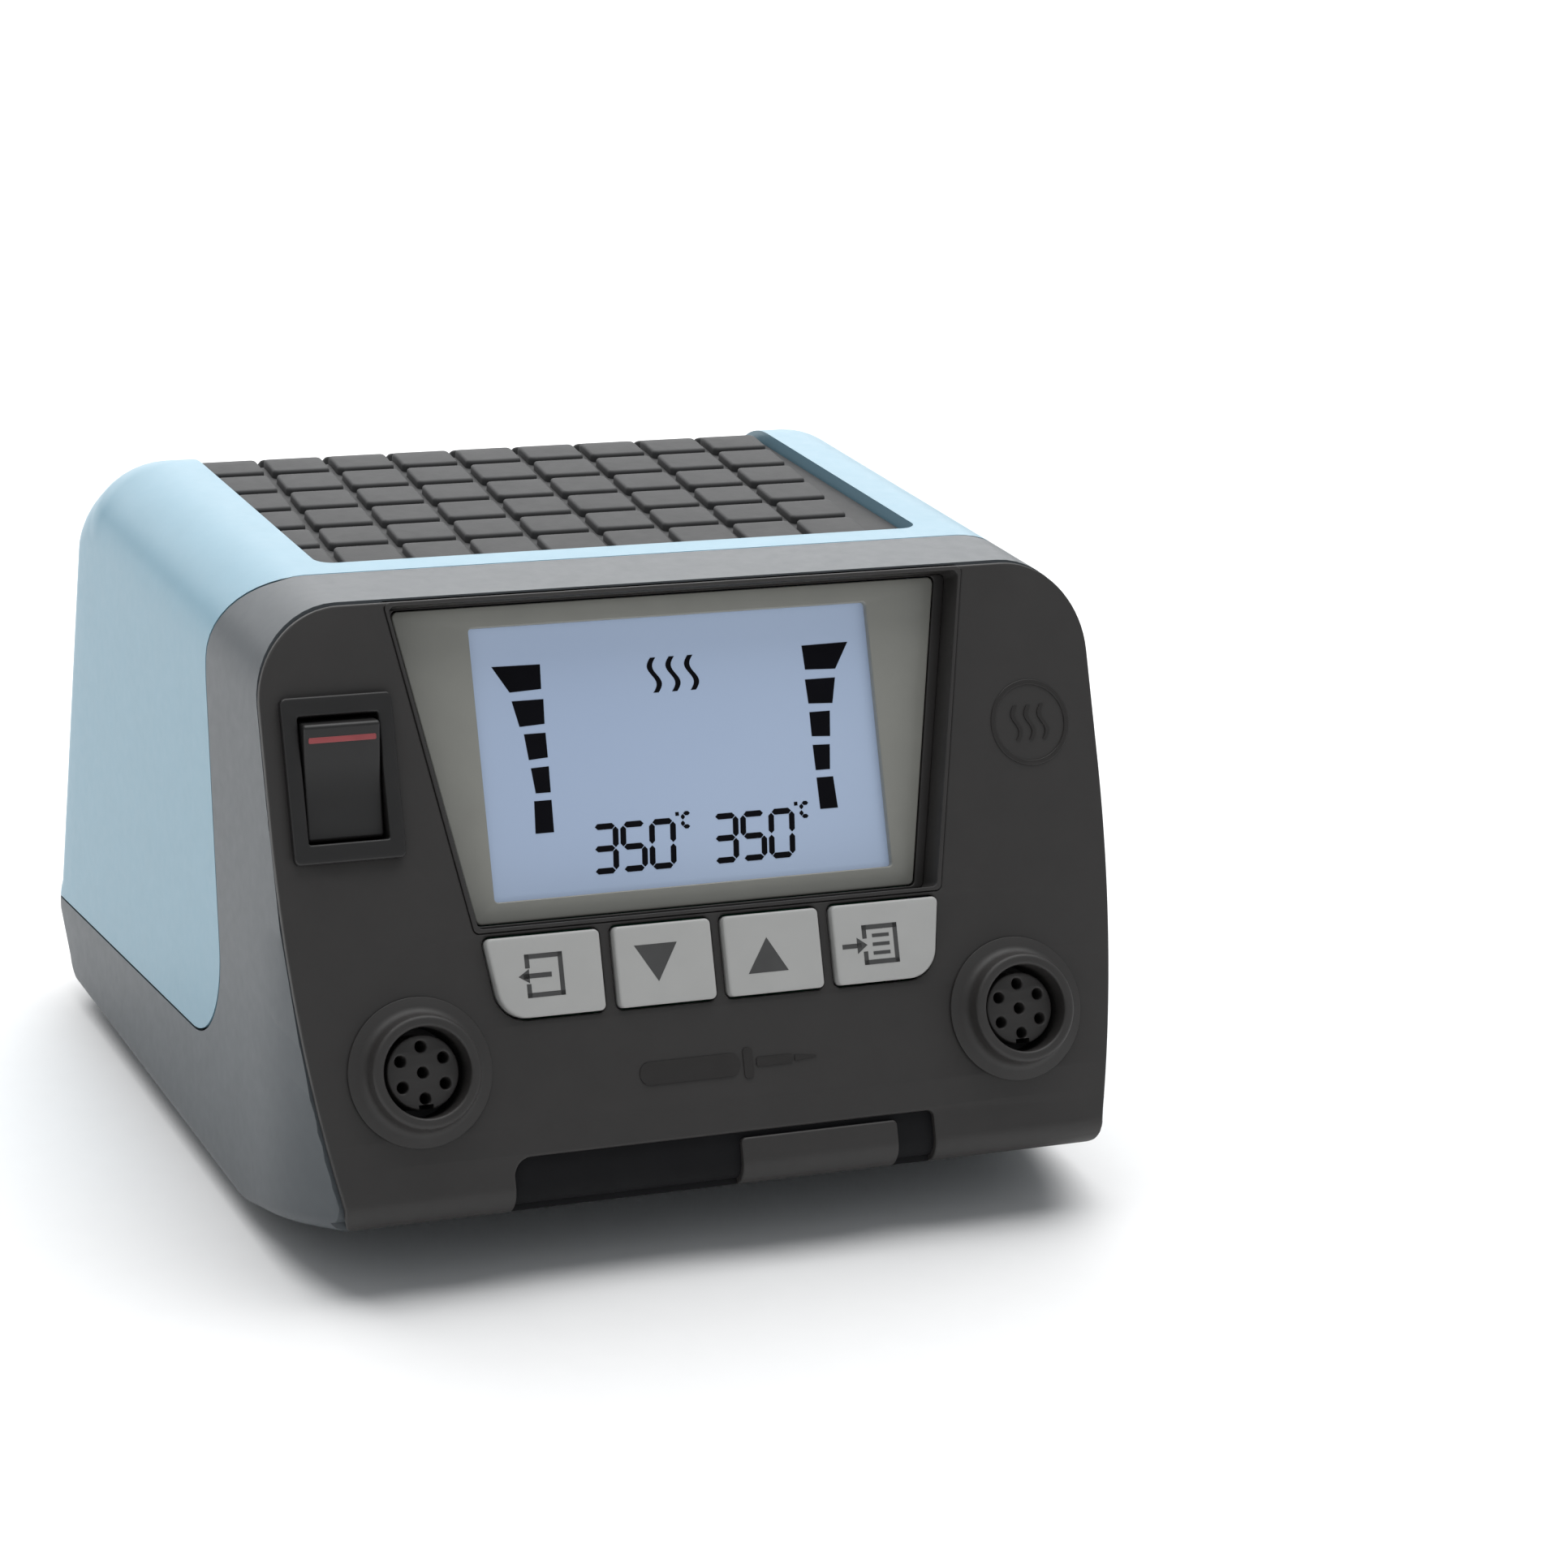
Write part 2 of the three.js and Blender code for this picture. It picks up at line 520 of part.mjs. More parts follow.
function paddle() {
  const end = ROCKER.halfLength - 0.1;
  const profile = softPolygon([
    [-end, -2, 0.8],
    [0, -5, 2],
    [end, -2, 0.8],
    [end - 0.3, 2.9, 0.6],
    [0, 2.1, 3],
    [-end + 0.3, 2.9, 0.6],
  ]);
  const body = prism(profile, [-ROCKER.halfWidth, ROCKER.halfWidth], ALONG_PIVOT);
  const reach = ROCKER.halfWidth + TRUNNION.reach;
  const axle = disc([0, 0], TRUNNION.radius, [-reach, reach], ALONG_PIVOT, 16);
  return cut(join(body, axle), markerSlot(GAP));
}

function rockerFrame() {
  const { halfWidth, halfHeight, flange, depth } = ROCKER_FRAME;
  const x = [ROCKER.x - halfWidth, ROCKER.x + halfWidth];
  const y = [ROCKER.s - halfHeight, ROCKER.s + halfHeight];
  const rim = prism(rectangle(x, y, 1), [GAP, GAP + flange], FACE);
  const body = box(rockerSpan(ROCKER_WALL), rockerRun(ROCKER_WALL), [-depth, GAP + 0.1], FACE);
  const well = box(rockerSpan(GAP), rockerRun(GAP), [-9, FAR], FACE);
  const bore = rockerSpan(GAP + TRUNNION.reach);
  const bearing = disc([0, 0], TRUNNION.radius + GAP, bore.map((v) => v - ROCKER.x), ALONG_PIVOT, 16);
  return cut(join(rim, body), well, bearing);
}

add("rocker_frame", rockerFrame(), "black");
add("power_rocker", paddle(), "black");
const underLineTop = box([-FAR, FAR], [-FAR, FAR], [-FAR, MARKER.top], ROCKER_PIVOT);
const marker = markerSlot(0).intersect(underLineTop);
add("rocker_marker", marker, "key");

// ---- Tool sockets -------------------------------------------------------------------------
function socketCollar(x) {
  const { ring, bore, barrel, flange, proud } = SOCKET;
  const depth = SOCKET_DEPTH;
  const section = [
    [bore, -depth],
    [barrel, -depth],
    [barrel, GAP],
    [flange, GAP],
    [flange - 0.5, GAP + 1.2],
    [ring + 0.4, GAP + 1.2],
    [ring, proud - 0.5],
    [ring - 0.5, proud],
    [bore + 0.3, proud],
    [bore, proud - 0.3],
    [bore, -depth],
  ];
  return turned(section, [x, SOCKET.s], FACE);
}

function socketInsert(x) {
  const face = 1.6;
  const base = disc([x, SOCKET.s], SOCKET.bore - GAP, [-SOCKET_DEPTH, face - CONTACTS.depth], FACE);
  const boss = disc([x, SOCKET.s], SOCKET.boss, [-SOCKET_DEPTH, face], FACE);
  const core = join(base, boss);
  const front = [face - CONTACTS.depth, FAR];
  const holes = [disc([x, SOCKET.s], CONTACTS.radius, front, FACE, 10)];
  for (let i = 0; i < CONTACTS.count; i += 1) {
    const angle = (2 * Math.PI * (i + 0.5)) / CONTACTS.count;
    const spot = [x + CONTACTS.circle * Math.cos(angle), SOCKET.s + CONTACTS.circle * Math.sin(angle)];
    holes.push(disc(spot, CONTACTS.radius, front, FACE, 10));
  }
  const keyway = box([x - 1.2, x + 1.2], [SOCKET.s - 8, SOCKET.s - 4.9], front, FACE);
  return cut(core, ...holes, keyway);
}

function socketNut(x) {
  const z = [-PANEL.thickness - GAP - 3, -PANEL.thickness - GAP];
  const hexagon = disc([x, SOCKET.s], 10.5, z, FACE, 6);
  return hexagon.subtract(disc([x, SOCKET.s], SOCKET.barrel + GAP, [-FAR / 4, 0], FACE));
}

for (const [side, x] of [["left", -SOCKET.x], ["right", SOCKET.x]]) {
  add(`socket_collar_${side}`, socketCollar(x), "black");
  add(`socket_insert_${side}`, socketInsert(x), "panel");
  add(`socket_nut_${side}`, socketNut(x), "steel");
}

// ---- Back panel, mains inlet and fuse drawer ----------------------------------------------
const PLATE_FRONT = -0.6;
const MODULE = { halfWidth: 14, bottom: 29.5, top: 61, flange: 2.2, proud: 1 };
const CAVITY = { halfWidth: 12, bottom: 42.5, top: 59 };
const DRAWER = { halfWidth: 11.4, bottom: 31.2, top: 38.6, depth: 19.5, fuse: [35.1, -8] };
const PINS = { live: [7, 52.5], neutral: [-7, 52.5], earth: [0, 48] };
const BOND = { centre: [-8, 45], radius: 5, bore: 2 };
const SLOTS = { count: 7, first: -46, pitch: 4.4, halfWidth: 1.1, y: [33, 57] };
const around = (centre, half) => [centre - half, centre + half];

function backPanel() {
  const flangeFront = -WALL - GAP;
  const plate = prism(windowShape(-GAP), [flangeFront - 1.6, PLATE_FRONT], BACK);
  const flange = prism(windowShape(2.5), [flangeFront - 1.6, flangeFront], BACK);
  const deep = [-FAR / 4, 10];
  const x = around(INLET.centre, MODULE.halfWidth + GAP);
  const moduleHole = box(x, [MODULE.bottom - GAP, MODULE.top + GAP], deep, BACK);
  const bondHole = disc(BOND.centre, BOND.radius - 1 + GAP, deep, BACK, 20);
  const slots = Array.from({ length: SLOTS.count }, (_, i) => {
    const x = around(SLOTS.first + i * SLOTS.pitch, SLOTS.halfWidth);
    return prism(rectangle(x, SLOTS.y, 1), deep, BACK);
  });
  return cut(join(plate, flange), moduleHole, bondHole, ...slots);
}

function inlet() {
  const { halfWidth, bottom, top, flange, proud } = MODULE;
  const x = around(INLET.centre, halfWidth + flange);
  const front = PLATE_FRONT + GAP;
  const rim = prism(rectangle(x, [bottom - flange, top + flange], 2), [front, proud], BACK);
  const body = box(around(INLET.centre, halfWidth), [bottom, top], [-INLET.depth, front + 0.1], BACK);
  const cavity = softPolygon([
    [INLET.centre - CAVITY.halfWidth, CAVITY.bottom, 1],
    [INLET.centre + CAVITY.halfWidth, CAVITY.bottom, 1],
    [INLET.centre + CAVITY.halfWidth, CAVITY.top, 5],
    [INLET.centre - CAVITY.halfWidth, CAVITY.top, 5],
  ]);
  const drawerX = around(INLET.centre, DRAWER.halfWidth + GAP);
  const drawerRoom = [DRAWER.bottom - GAP, DRAWER.top + GAP];
  const drawerHole = box(drawerX, drawerRoom, [-DRAWER.depth - GAP, FAR], BACK);
  const pinHoles = Object.values(PINS).map((spot) => pin(spot, GAP, [-FAR / 4, 0]));
  return cut(join(rim, body), prism(cavity, [INLET.floor, FAR], BACK), drawerHole, ...pinHoles);
}

function pin([x, y], grow, z) {
  const half = { x: 1 + grow, y: 2 + grow };
  return box(around(INLET.centre + x, half.x), around(y, half.y), z, BACK);
}

function fuseDrawer() {
  const x = around(INLET.centre, DRAWER.halfWidth);
  const block = box(x, [DRAWER.bottom, DRAWER.top], [-DRAWER.depth, MODULE.proud], BACK);
  const [fuseY, fuseZ] = DRAWER.fuse;
  const room = around(INLET.centre, DRAWER.halfWidth - 0.9);
  const trough = box(room, [fuseY - 2.5 - GAP, FAR], around(fuseZ, 2.5 + GAP), BACK);
  const grip = box(around(INLET.centre, 5), [DRAWER.top - 1.6, FAR], [MODULE.proud - 1.4, FAR], BACK);
  return cut(block, trough, grip);
}

function fuse() {
  const length = 20;
  const radius = 2.5;
  const tube = new THREE.CylinderGeometry(radius, radius, length, 16).rotateZ(Math.PI / 2);
  tube.translate(INLET.centre, ...DRAWER.fuse);
  return solid(tube.applyMatrix4(BACK));
}

function bondingSocket() {
  const { centre, radius, bore } = BOND;
  const front = PLATE_FRONT + GAP;
  const section = [
    [0, -12],
    [radius - 1, -12],
    [radius - 1, front],
    [radius, front],
    [radius - 0.4, front + 1.4],
    [bore, front + 1.4],
    [bore, -8],
    [0, -8],
  ];
  return turned(section, centre, BACK, 20);
}

add("rear_panel", backPanel(), "panel");
add("mains_inlet", inlet(), "black");
for (const [name, spot] of Object.entries(PINS)) {
  add(`inlet_pin_${name}`, pin(spot, 0, [-INLET.depth - 5, -5]), "steel");
}
add("fuse_drawer", fuseDrawer(), "black");
add("fuse_link", fuse(), "white");
add("bonding_socket", bondingSocket(), "brass");

// ---- Feet and screws ----------------------------------------------------------------------
const NAMES = ["left_front", "left_rear", "right_front", "right_rear"];

function foot([x, y]) {
  const top = UNDERSIDE - GAP;
  const section = [
    [0, 0],
    [FEET.radius - 0.8, 0],
    [FEET.radius, 0.8],
    [FEET.radius, top],
    [FEET.stem, top],
    [FEET.stem, FLOOR + 1.5],
    [0, FLOOR + 1.5],
  ];
  return turned(section, [x, y], HERE, 24);
}

function screw(centre, frame, seat, reach) {
  const section = [
    [0, seat],
    [SCREW.shank, seat],
    [SCREW.shank, seat + reach],
    [0, seat + reach],
  ];
  const shank = turned(section, centre, frame, 12);
  const dome = [
    [0, seat - 1.6],
    [SCREW.head * 0.6, seat - 1.6],
    [SCREW.head, seat - 0.7],
    [SCREW.head, seat],
    [0, seat],
  ];
  return join(turned(dome, centre, frame, 16), shank);
}

FOOT_SPOTS.forEach((spot, i) => add(`foot_${NAMES[i]}`, foot(spot), "rubber"));
SCREW_SPOTS.forEach((spot, i) => {
  add(`base_screw_${NAMES[i]}`, screw(spot, HERE, UNDERSIDE - GAP, SCREW.length), "steel");
});

// A cover screw looks forward from the back, so its frame is the back's, turned over.
const BACK_INWARD = BACK.clone().multiply(new THREE.Matrix4().makeRotationY(Math.PI));
for (const [side, x] of [["left", COVER_SCREW.x], ["right", -COVER_SCREW.x]]) {
  add(`cover_screw_${side}`, screw([-x, COVER_SCREW.height], BACK_INWARD, -GAP, SCREW.length), "steel");
}

// ---- Power section ------------------------------------------------------------------------
// The transformer's stack, from the floor up: pad, winding, pad, clamping washer, bolt head.
function stackRing(outer, inner, bottom, top, segments = 32) {
  const centre = [TOROID.x, TOROID.y];
  return cut(
    disc(centre, outer, [bottom, top], HERE, segments),
    disc(centre, inner, [bottom - 1, top + 1], HERE, 16),
  );
}

function winding(bottom) {
  const { outer, inner, height } = TOROID;
  const middle = (outer + inner) / 2;
  const half = (outer - inner) / 2;
  const soften = 5;
  const section = [
    [middle, bottom],
    [middle + half - soften, bottom],
    [outer, bottom + soften],
    [outer, bottom + height - soften],
    [outer - soften, bottom + height],
    [inner + soften, bottom + height],
    [inner, bottom + height - soften],
    [inner, bottom + soften],
    [inner + soften, bottom],
    [middle, bottom],
  ];
  return turned(section, [TOROID.x, TOROID.y], HERE, 40);
}

function transformer() {
  const bolt = { radius: 3, head: 6 };
  const clearance = bolt.radius + GAP;
  const pad = 1.2;
  const lowerPad = FLOOR + GAP;
  const windingBottom = lowerPad + pad + GAP;
  const upperPad = windingBottom + TOROID.height + GAP;
  const washer = upperPad + pad + GAP;
  const head = washer + 2 + GAP;
  add("transformer_pad_lower", stackRing(32, clearance, lowerPad, lowerPad + pad), "rubber");
  add("transformer_winding", winding(windingBottom), "winding");
  add("transformer_pad_upper", stackRing(32, clearance, upperPad, upperPad + pad), "rubber");
  add("transformer_washer", stackRing(22, clearance, washer, washer + 2), "steel");
  const centre = [TOROID.x, TOROID.y];
  const hexagon = disc(centre, bolt.head, [head, head + 4], HERE, 6);
  const shank = disc(centre, bolt.radius, [lowerPad, head + 1], HERE, 16);
  add("transformer_bolt", join(hexagon, shank), "steel");
}

// What stands on the power board: places in plan, and heights above the board.
const CAPACITOR = { x: -30, y: { front: 8, rear: 28 }, radius: 8, height: 25 };
const TRIAC = { left: { left: 22, right: 36 }, width: 10, y: [19, 23.65], height: 16 };
const SINK = { left: 20, y: [24, 27], fins: 6, pitch: 5, fin: 2, reach: 12, height: 22 };
const TERMINALS = { x: [-10, 7], y: [30, 40], height: 10, count: 3, slot: [3, 7] };

function heatSink(bottom) {
  const right = SINK.left + SINK.fins * SINK.pitch - SINK.pitch + SINK.fin;
  const z = [bottom, bottom + SINK.height];
  const plates = Array.from({ length: SINK.fins }, (_, i) => {
    const left = SINK.left + i * SINK.pitch;
    return box([left, left + SINK.fin], [SINK.y[1] - 0.5, SINK.y[1] + SINK.reach], z);
  });
  return join(box([SINK.left, right], SINK.y, z), ...plates);
}

function terminalBlock(bottom) {
  const { x, y, height, count, slot } = TERMINALS;
  const pitch = (x[1] - x[0]) / count;
  const slots = Array.from({ length: count }, (_, i) => {
    const middle = x[0] + (i + 0.5) * pitch;
    return box([middle - 1.5, middle + 1.5], [y[0] - 2, y[1]], [bottom + slot[0], bottom + slot[1]]);
  });
  return cut(box(x, y, [bottom, bottom + height]), ...slots);
}

function powerBoard() {
  const { left, right, front, back, z, thickness } = BOARD;
  add("power_board", prism(rectangle([left, right], [front, back], 2), [z, z + thickness]), "board");
  const bottom = z + thickness + GAP;
  for (const [name, y] of Object.entries(CAPACITOR.y)) {
    const height = [bottom, bottom + CAPACITOR.height];
    add(`capacitor_${name}`, disc([CAPACITOR.x, y], CAPACITOR.radius, height), "black");
  }
  add("heat_sink", heatSink(bottom), "aluminium");
  for (const [side, x] of Object.entries(TRIAC.left)) {
    add(`triac_${side}`, box([x, x + TRIAC.width], TRIAC.y, [bottom, bottom + TRIAC.height]), "black");
  }
  add("terminal_block", terminalBlock(bottom), "housing");
}

transformer();
powerBoard();

// ---- Inside wiring ------------------------------------------------------------------------
// The ribbon runs from the back of the control board down onto the power board.
function ribbon() {
  const route = new THREE.CatmullRomCurve3([
    new THREE.Vector3(-38.2, 60.4, 0),
    new THREE.Vector3(-32, 67, 0),
    new THREE.Vector3(-20, 70, 0),
    new THREE.Vector3(-8, 68, 0),
    new THREE.Vector3(-2, 60.9, 0),
  ]);
  const steps = 14;
  const edge = (offset) =>
    Array.from({ length: steps + 1 }, (_, i) => {
      const point = route.getPoint(i / steps);
      const along = route.getTangent(i / steps);
      return at(point.x - along.y * offset, point.y + along.x * offset);
    });
  const half = 0.5;
  const shape = new THREE.Shape([...edge(-half), ...edge(half).reverse()]);
  return prism(shape, [-12, 12], ALONG_X);
}

// The mains wires run from the rocker along the left wall to the inlet, one under the other.
const WIRE = { radius: 1.1, spacing: 4 };

function wire(shift) {
  const points = [
    [-59, -34, 62],
    [-61, -22, 62],
    [-62, -4, 58],
    [-61, 18, 52],
    [-58, 31, 48],
    [-52, 40, 47],
    [-42, 41, 46],
  ];
  const route = new THREE.CatmullRomCurve3(
    points.map(([x, y, z]) => new THREE.Vector3(x, y, z + shift)),
  );
  const section = new THREE.Shape().absarc(0, 0, WIRE.radius, 0, 2 * Math.PI);
  const geometry = new THREE.ExtrudeGeometry(section, {
    steps: 24,
    curveSegments: 4,
    extrudePath: route,
  });
  return solid(geometry);
}

add("ribbon_cable", ribbon(), "ribbon");
add("mains_wire_live", wire(0), "brown");
add("mains_wire_neutral", wire(-WIRE.spacing), "blue");

export default group;
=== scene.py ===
"""Looks of the two-tool soldering station: smooth shells and fittings built round the CAD frame.

Lengths are millimetres until a mesh is made. The frame is the CAD's: +Z up, the operating face
looks towards -Y, and the origin is the centre of the footprint on the table.
"""

import json
import math

import bmesh
import bpy
import numpy as np
from mathutils import Matrix, Vector
from mathutils.geometry import tessellate_polygon


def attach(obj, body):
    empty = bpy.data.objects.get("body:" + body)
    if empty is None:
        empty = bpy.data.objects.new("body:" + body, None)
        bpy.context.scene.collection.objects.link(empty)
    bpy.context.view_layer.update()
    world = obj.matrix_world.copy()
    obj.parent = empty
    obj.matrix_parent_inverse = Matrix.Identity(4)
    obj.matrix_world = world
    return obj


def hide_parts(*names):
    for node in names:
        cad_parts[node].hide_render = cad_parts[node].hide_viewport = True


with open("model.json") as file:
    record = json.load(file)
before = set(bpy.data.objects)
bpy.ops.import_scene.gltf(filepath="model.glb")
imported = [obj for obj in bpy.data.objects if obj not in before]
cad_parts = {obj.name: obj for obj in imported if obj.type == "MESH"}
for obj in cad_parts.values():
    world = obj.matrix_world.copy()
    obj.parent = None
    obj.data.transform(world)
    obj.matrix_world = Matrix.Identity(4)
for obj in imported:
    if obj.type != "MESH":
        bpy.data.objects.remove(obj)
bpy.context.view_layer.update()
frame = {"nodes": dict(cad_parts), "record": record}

MM = 0.001
WELD = 1e-7
STATION = "station"

# ---- The station's driving dimensions, as in the CAD ----------------------------------------
# Angles are in degrees. On the leaning face, s and every bottom and top are measured up its slope,
# and depths are square to it.
WIDTH, DEPTH, HEIGHT = 141.0, 149.0, 101.0
UNDERSIDE = 3.0
WALL = 2.5
GAP = 0.35
FACE_LEAN, BACK_LEAN, RAMP = 22.5, 8.0, 14.4
NOSE_RADIUS, NOSE_HEIGHT = 4.0, 15.2
KNEE_RADIUS, KNEE_HEIGHT = 10.0, 19.0
TOP_BACK_RADIUS, TOP_SIDE_RADIUS = 18.0, 14.0
PLAN_RADIUS, PLAN_TANGENT = 45.0, -52.0
FAR = 200.0

# The seam between housing and cover in the side view, from the back up: (y, z, corner radius).
SEAM = [(FAR, 6, 0), (-30.8, 24.6, 15), (-14.6, 93.5, 20), (-22.5, 100.4, 0)]
# The radius along the side walls' edges, by the direction that the edge faces in the side view.
EDGE_TURNS = [-104.4, -90, -45, 8, 50, 90, 180, 255.6]
EDGE_RADII = [3.0, 3.0, 4.5, 8.0, 12.5, TOP_SIDE_RADIUS, TOP_SIDE_RADIUS, 3.0]
LEAST_EDGE_RADIUS = 0.6
REAR_WINDOW = dict(half=54, bottom=24, top=66, corner=3)

# The operating panel, its lip round the nose, and the display in its recess.
PANEL_SKIN, PANEL_RIM = 1.2, 0.35
LIP_WRAP = 96
UNDER_TAPER, UNDER_TAPER_HEIGHT = 3.0, 5.0
RECESS = dict(top=108.6, bottom=57.9, half_top=48.7, half_bottom=39.1)
RECESS_DEPTH, RECESS_WALL, RECESS_CORNER = 5.2, 0.7, 1.0
BEZEL = dict(top=108.2, bottom=58.6, half_top=46.6, half_bottom=37.4)
BEZEL_THICKNESS = 1.2
LCD = dict(half=34.1, bottom=61.9, top=104.8)
LCD_OVERLAP, LCD_THICKNESS = 1.4, 2.5

# Keys, with the left and right edge of each.
KEY_BOTTOM, KEY_TOP, KEY_SLANT = 43.6, 56.3, 1.9
KEY_PROUD, KEY_DEPTH = 1.2, 4.4
KEY_CORNER, KEY_SMALL_CORNER = 5.0, 0.9
KEYS = dict(exit=(-38.6, -19.8), down=(-17.4, -1.1), up=(1.1, 17.4), menu=(19.8, 38.6))

# Mains rocker: half widths and half lengths of the paddle and its rim, and what is round them.
ROCKER_X, ROCKER_S = -58.7, 82.8
ROCKER_HALF, ROCKER_LENGTH = 6.1, 9.4
ROCKER_RIM_HALF, ROCKER_RIM_LENGTH, ROCKER_RIM_PROUD = 8.9, 12.8, 0.9
ROCKER_WELL_WALL, ROCKER_WELL_DEPTH = 1.2, 9
ROCKER_OPENING = 1.6
ROCKER_THROW, ROCKER_PIVOT = 11.0, -1.5

# Tool sockets: radii, depths and contacts.
SOCKETS = dict(left=-50.8, right=50.8)
SOCKET_S, SOCKET_HOLE = 37.0, 9.2
SOCKET_BORE, SOCKET_BOSS = 7.0, 5.8
SOCKET_DEPTH, SOCKET_BOSS_PROUD = 4.4, 1.6
CONTACT_RADIUS, CONTACT_CIRCLE, CONTACTS_ROUND = 0.9, 4.0, 6

# The notch in the panel's lower edge, its tongue, and the levels of what is in relief.
NOTCH_LEFT, NOTCH_RIGHT, NOTCH_TOP, NOTCH_DEPTH = -37.0, 34.5, 22.3, 1.0
NOTCH_BACKING = 0.25
TONGUE, TONGUE_TOP = (1.0, 28.0), 21.4
RELIEF = (-0.1, 0.18)

# Mat: its tray, its slanting columns of tiles, and the grooves between them.
MAT_HALF, MAT_FRONT, MAT_DEPTH = 52.4, -16.6, 4.6
MAT_SUNK, MAT_WRAP = 0.7, 52.0
TRAY_WALL = 2
TILE_X, TILE_Y, TILE_DEPTH = 11.6, 11.3, 1.4
TILE_START, TILE_SLANT, TILE_COLUMNS = (-1.8, 1.0), 0.105, (-4, 4)
GROOVE_SIDE, GROOVE_FRONT = 1.5, 1.9


def rad(degrees):
    return math.radians(degrees)


def unit(degrees):
    """The unit vector this many degrees round from the first axis."""
    return np.array([math.cos(rad(degrees)), math.sin(rad(degrees))])


def translation(x, y, z):
    return Matrix.Translation((x, y, z))


def turn(degrees, axis):
    return Matrix.Rotation(rad(degrees), 4, axis)


# ---- Frames of the leaning face and the leaning back ----------------------------------------
NOSE = np.array([-DEPTH / 2 + NOSE_RADIUS, NOSE_HEIGHT])
KNEE = np.array([DEPTH / 2 - KNEE_RADIUS, KNEE_HEIGHT])
FACE_DIRECTION = 180 - FACE_LEAN
FACE_POINT = NOSE + NOSE_RADIUS * unit(FACE_DIRECTION)
FACE_FOOT = FACE_POINT[0] - FACE_POINT[1] * math.tan(rad(FACE_LEAN))
NOSE_TANGENT = FACE_POINT[1] / math.cos(rad(FACE_LEAN))
LIP_END = NOSE_TANGENT - NOSE_RADIUS * rad(LIP_WRAP)
BACK_NORMAL = unit(BACK_LEAN)
BACK_POINT = KNEE + KNEE_RADIUS * BACK_NORMAL
BACK_FOOT = BACK_POINT[0] + BACK_POINT[1] * math.tan(rad(BACK_LEAN))
EDGE_HEIGHT = HEIGHT - TOP_BACK_RADIUS
EDGE_REACH = BACK_NORMAL @ BACK_POINT - TOP_BACK_RADIUS - EDGE_HEIGHT * BACK_NORMAL[1]
BACK_EDGE = np.array([EDGE_REACH / BACK_NORMAL[0], EDGE_HEIGHT])
HERE = Matrix.Identity(4)
FACE = translation(0, FACE_FOOT, 0) @ turn(90 - FACE_LEAN, "X")
BACK = translation(0, BACK_FOOT, 0) @ turn(180, "Z") @ turn(90 - BACK_LEAN, "X")
ALONG_X = Matrix(((0, 0, 1, 0), (1, 0, 0, 0), (0, 1, 0, 0), (0, 0, 0, 1)))


def camera():
    """The photograph's view: a long lens, a little to the left, looking down, rolled slightly."""
    yaw, pitch, roll = rad(24.61), rad(18.39), rad(3.4)
    target, distance = Vector((0, -6.13, 50)), 761.3
    # Where the target lies off the picture's centre, in millimetres at its distance.
    across, lift = -32.51, -6.3
    level = math.cos(pitch)
    ahead = Vector((math.sin(yaw) * level, math.cos(yaw) * level, -math.sin(pitch)))
    right = Vector((math.cos(yaw), -math.sin(yaw), 0))
    up = right.cross(ahead)
    level_right = right * math.cos(roll) + up * math.sin(roll)
    level_up = up * math.cos(roll) - right * math.sin(roll)
    eye = target - ahead * distance - level_right * across - level_up * lift
    data = bpy.data.cameras.new("camera")
    data.lens, data.sensor_width = 104.23, 36
    data.clip_start, data.clip_end = 0.01, 20
    cam = bpy.data.objects.new("camera", data)
    axes = Matrix((level_right, level_up, -ahead)).transposed().to_4x4()
    cam.matrix_world = Matrix.Translation(eye * MM) @ axes
    bpy.context.scene.collection.objects.link(cam)
    bpy.context.scene.camera = cam


# ---- Outlines -------------------------------------------------------------------------------
def rounded(corners, step=6):
    """A closed outline from [x, y, radius] corners, each a true arc in turns of step degrees."""
    points = []
    count = len(corners)
    for i, (x, y, radius) in enumerate(corners):
        here = np.array([x, y], float)
        if radius == 0:
            points.append(here)
            continue
        to_last = np.array(corners[i - 1][:2], float) - here
        to_next = np.array(corners[(i + 1) % count][:2], float) - here
        to_last /= np.linalg.norm(to_last)
        to_next /= np.linalg.norm(to_next)
        half = math.acos(np.clip(to_last @ to_next, -1, 1)) / 2
        start = here + to_last * radius / math.tan(half)
        middle = (to_last + to_next) / np.linalg.norm(to_last + to_next)
        centre = here + middle * radius / math.sin(half)
        spoke = start - centre
        sweep = math.pi - 2 * half
        sign = np.sign(to_next[0] * to_last[1] - to_next[1] * to_last[0])
        steps = max(2, math.ceil(math.degrees(sweep) / step))
        for k in range(steps + 1):
            a = sign * sweep * k / steps
            c, s = math.cos(a), math.sin(a)
            across, along = c * spoke[0] - s * spoke[1], s * spoke[0] + c * spoke[1]
            points.append(centre + np.array([across, along]))
    return np.array(points)


def rectangle(x, y, radius):
    corners = [(x[0], y[0]), (x[1], y[0]), (x[1], y[1]), (x[0], y[1])]
    return rounded([(*corner, radius) for corner in corners])


def circle(centre, radius, count=48):
    angles = np.arange(count) * 2 * math.pi / count
    return np.array(centre) + radius * np.column_stack([np.cos(angles), np.sin(angles)])


def trapezoid(size, grow=0.0):
    """The display recess's shape, wider at the top, grown all round by a distance."""
    low, high = size["bottom"] - grow, size["top"] + grow
    bottom, top = size["half_bottom"] + grow, size["half_top"] + grow
    corners = [(-bottom, low), (bottom, low), (top, high), (-top, high)]
    return rounded([(*corner, RECESS_CORNER) for corner in corners])


def area(points):
    """The area inside an outline, negative where it runs clockwise."""
    x, y = points[:, 0], points[:, 1]
    return 0.5 * np.sum(x * np.roll(y, -1) - np.roll(x, -1) * y)


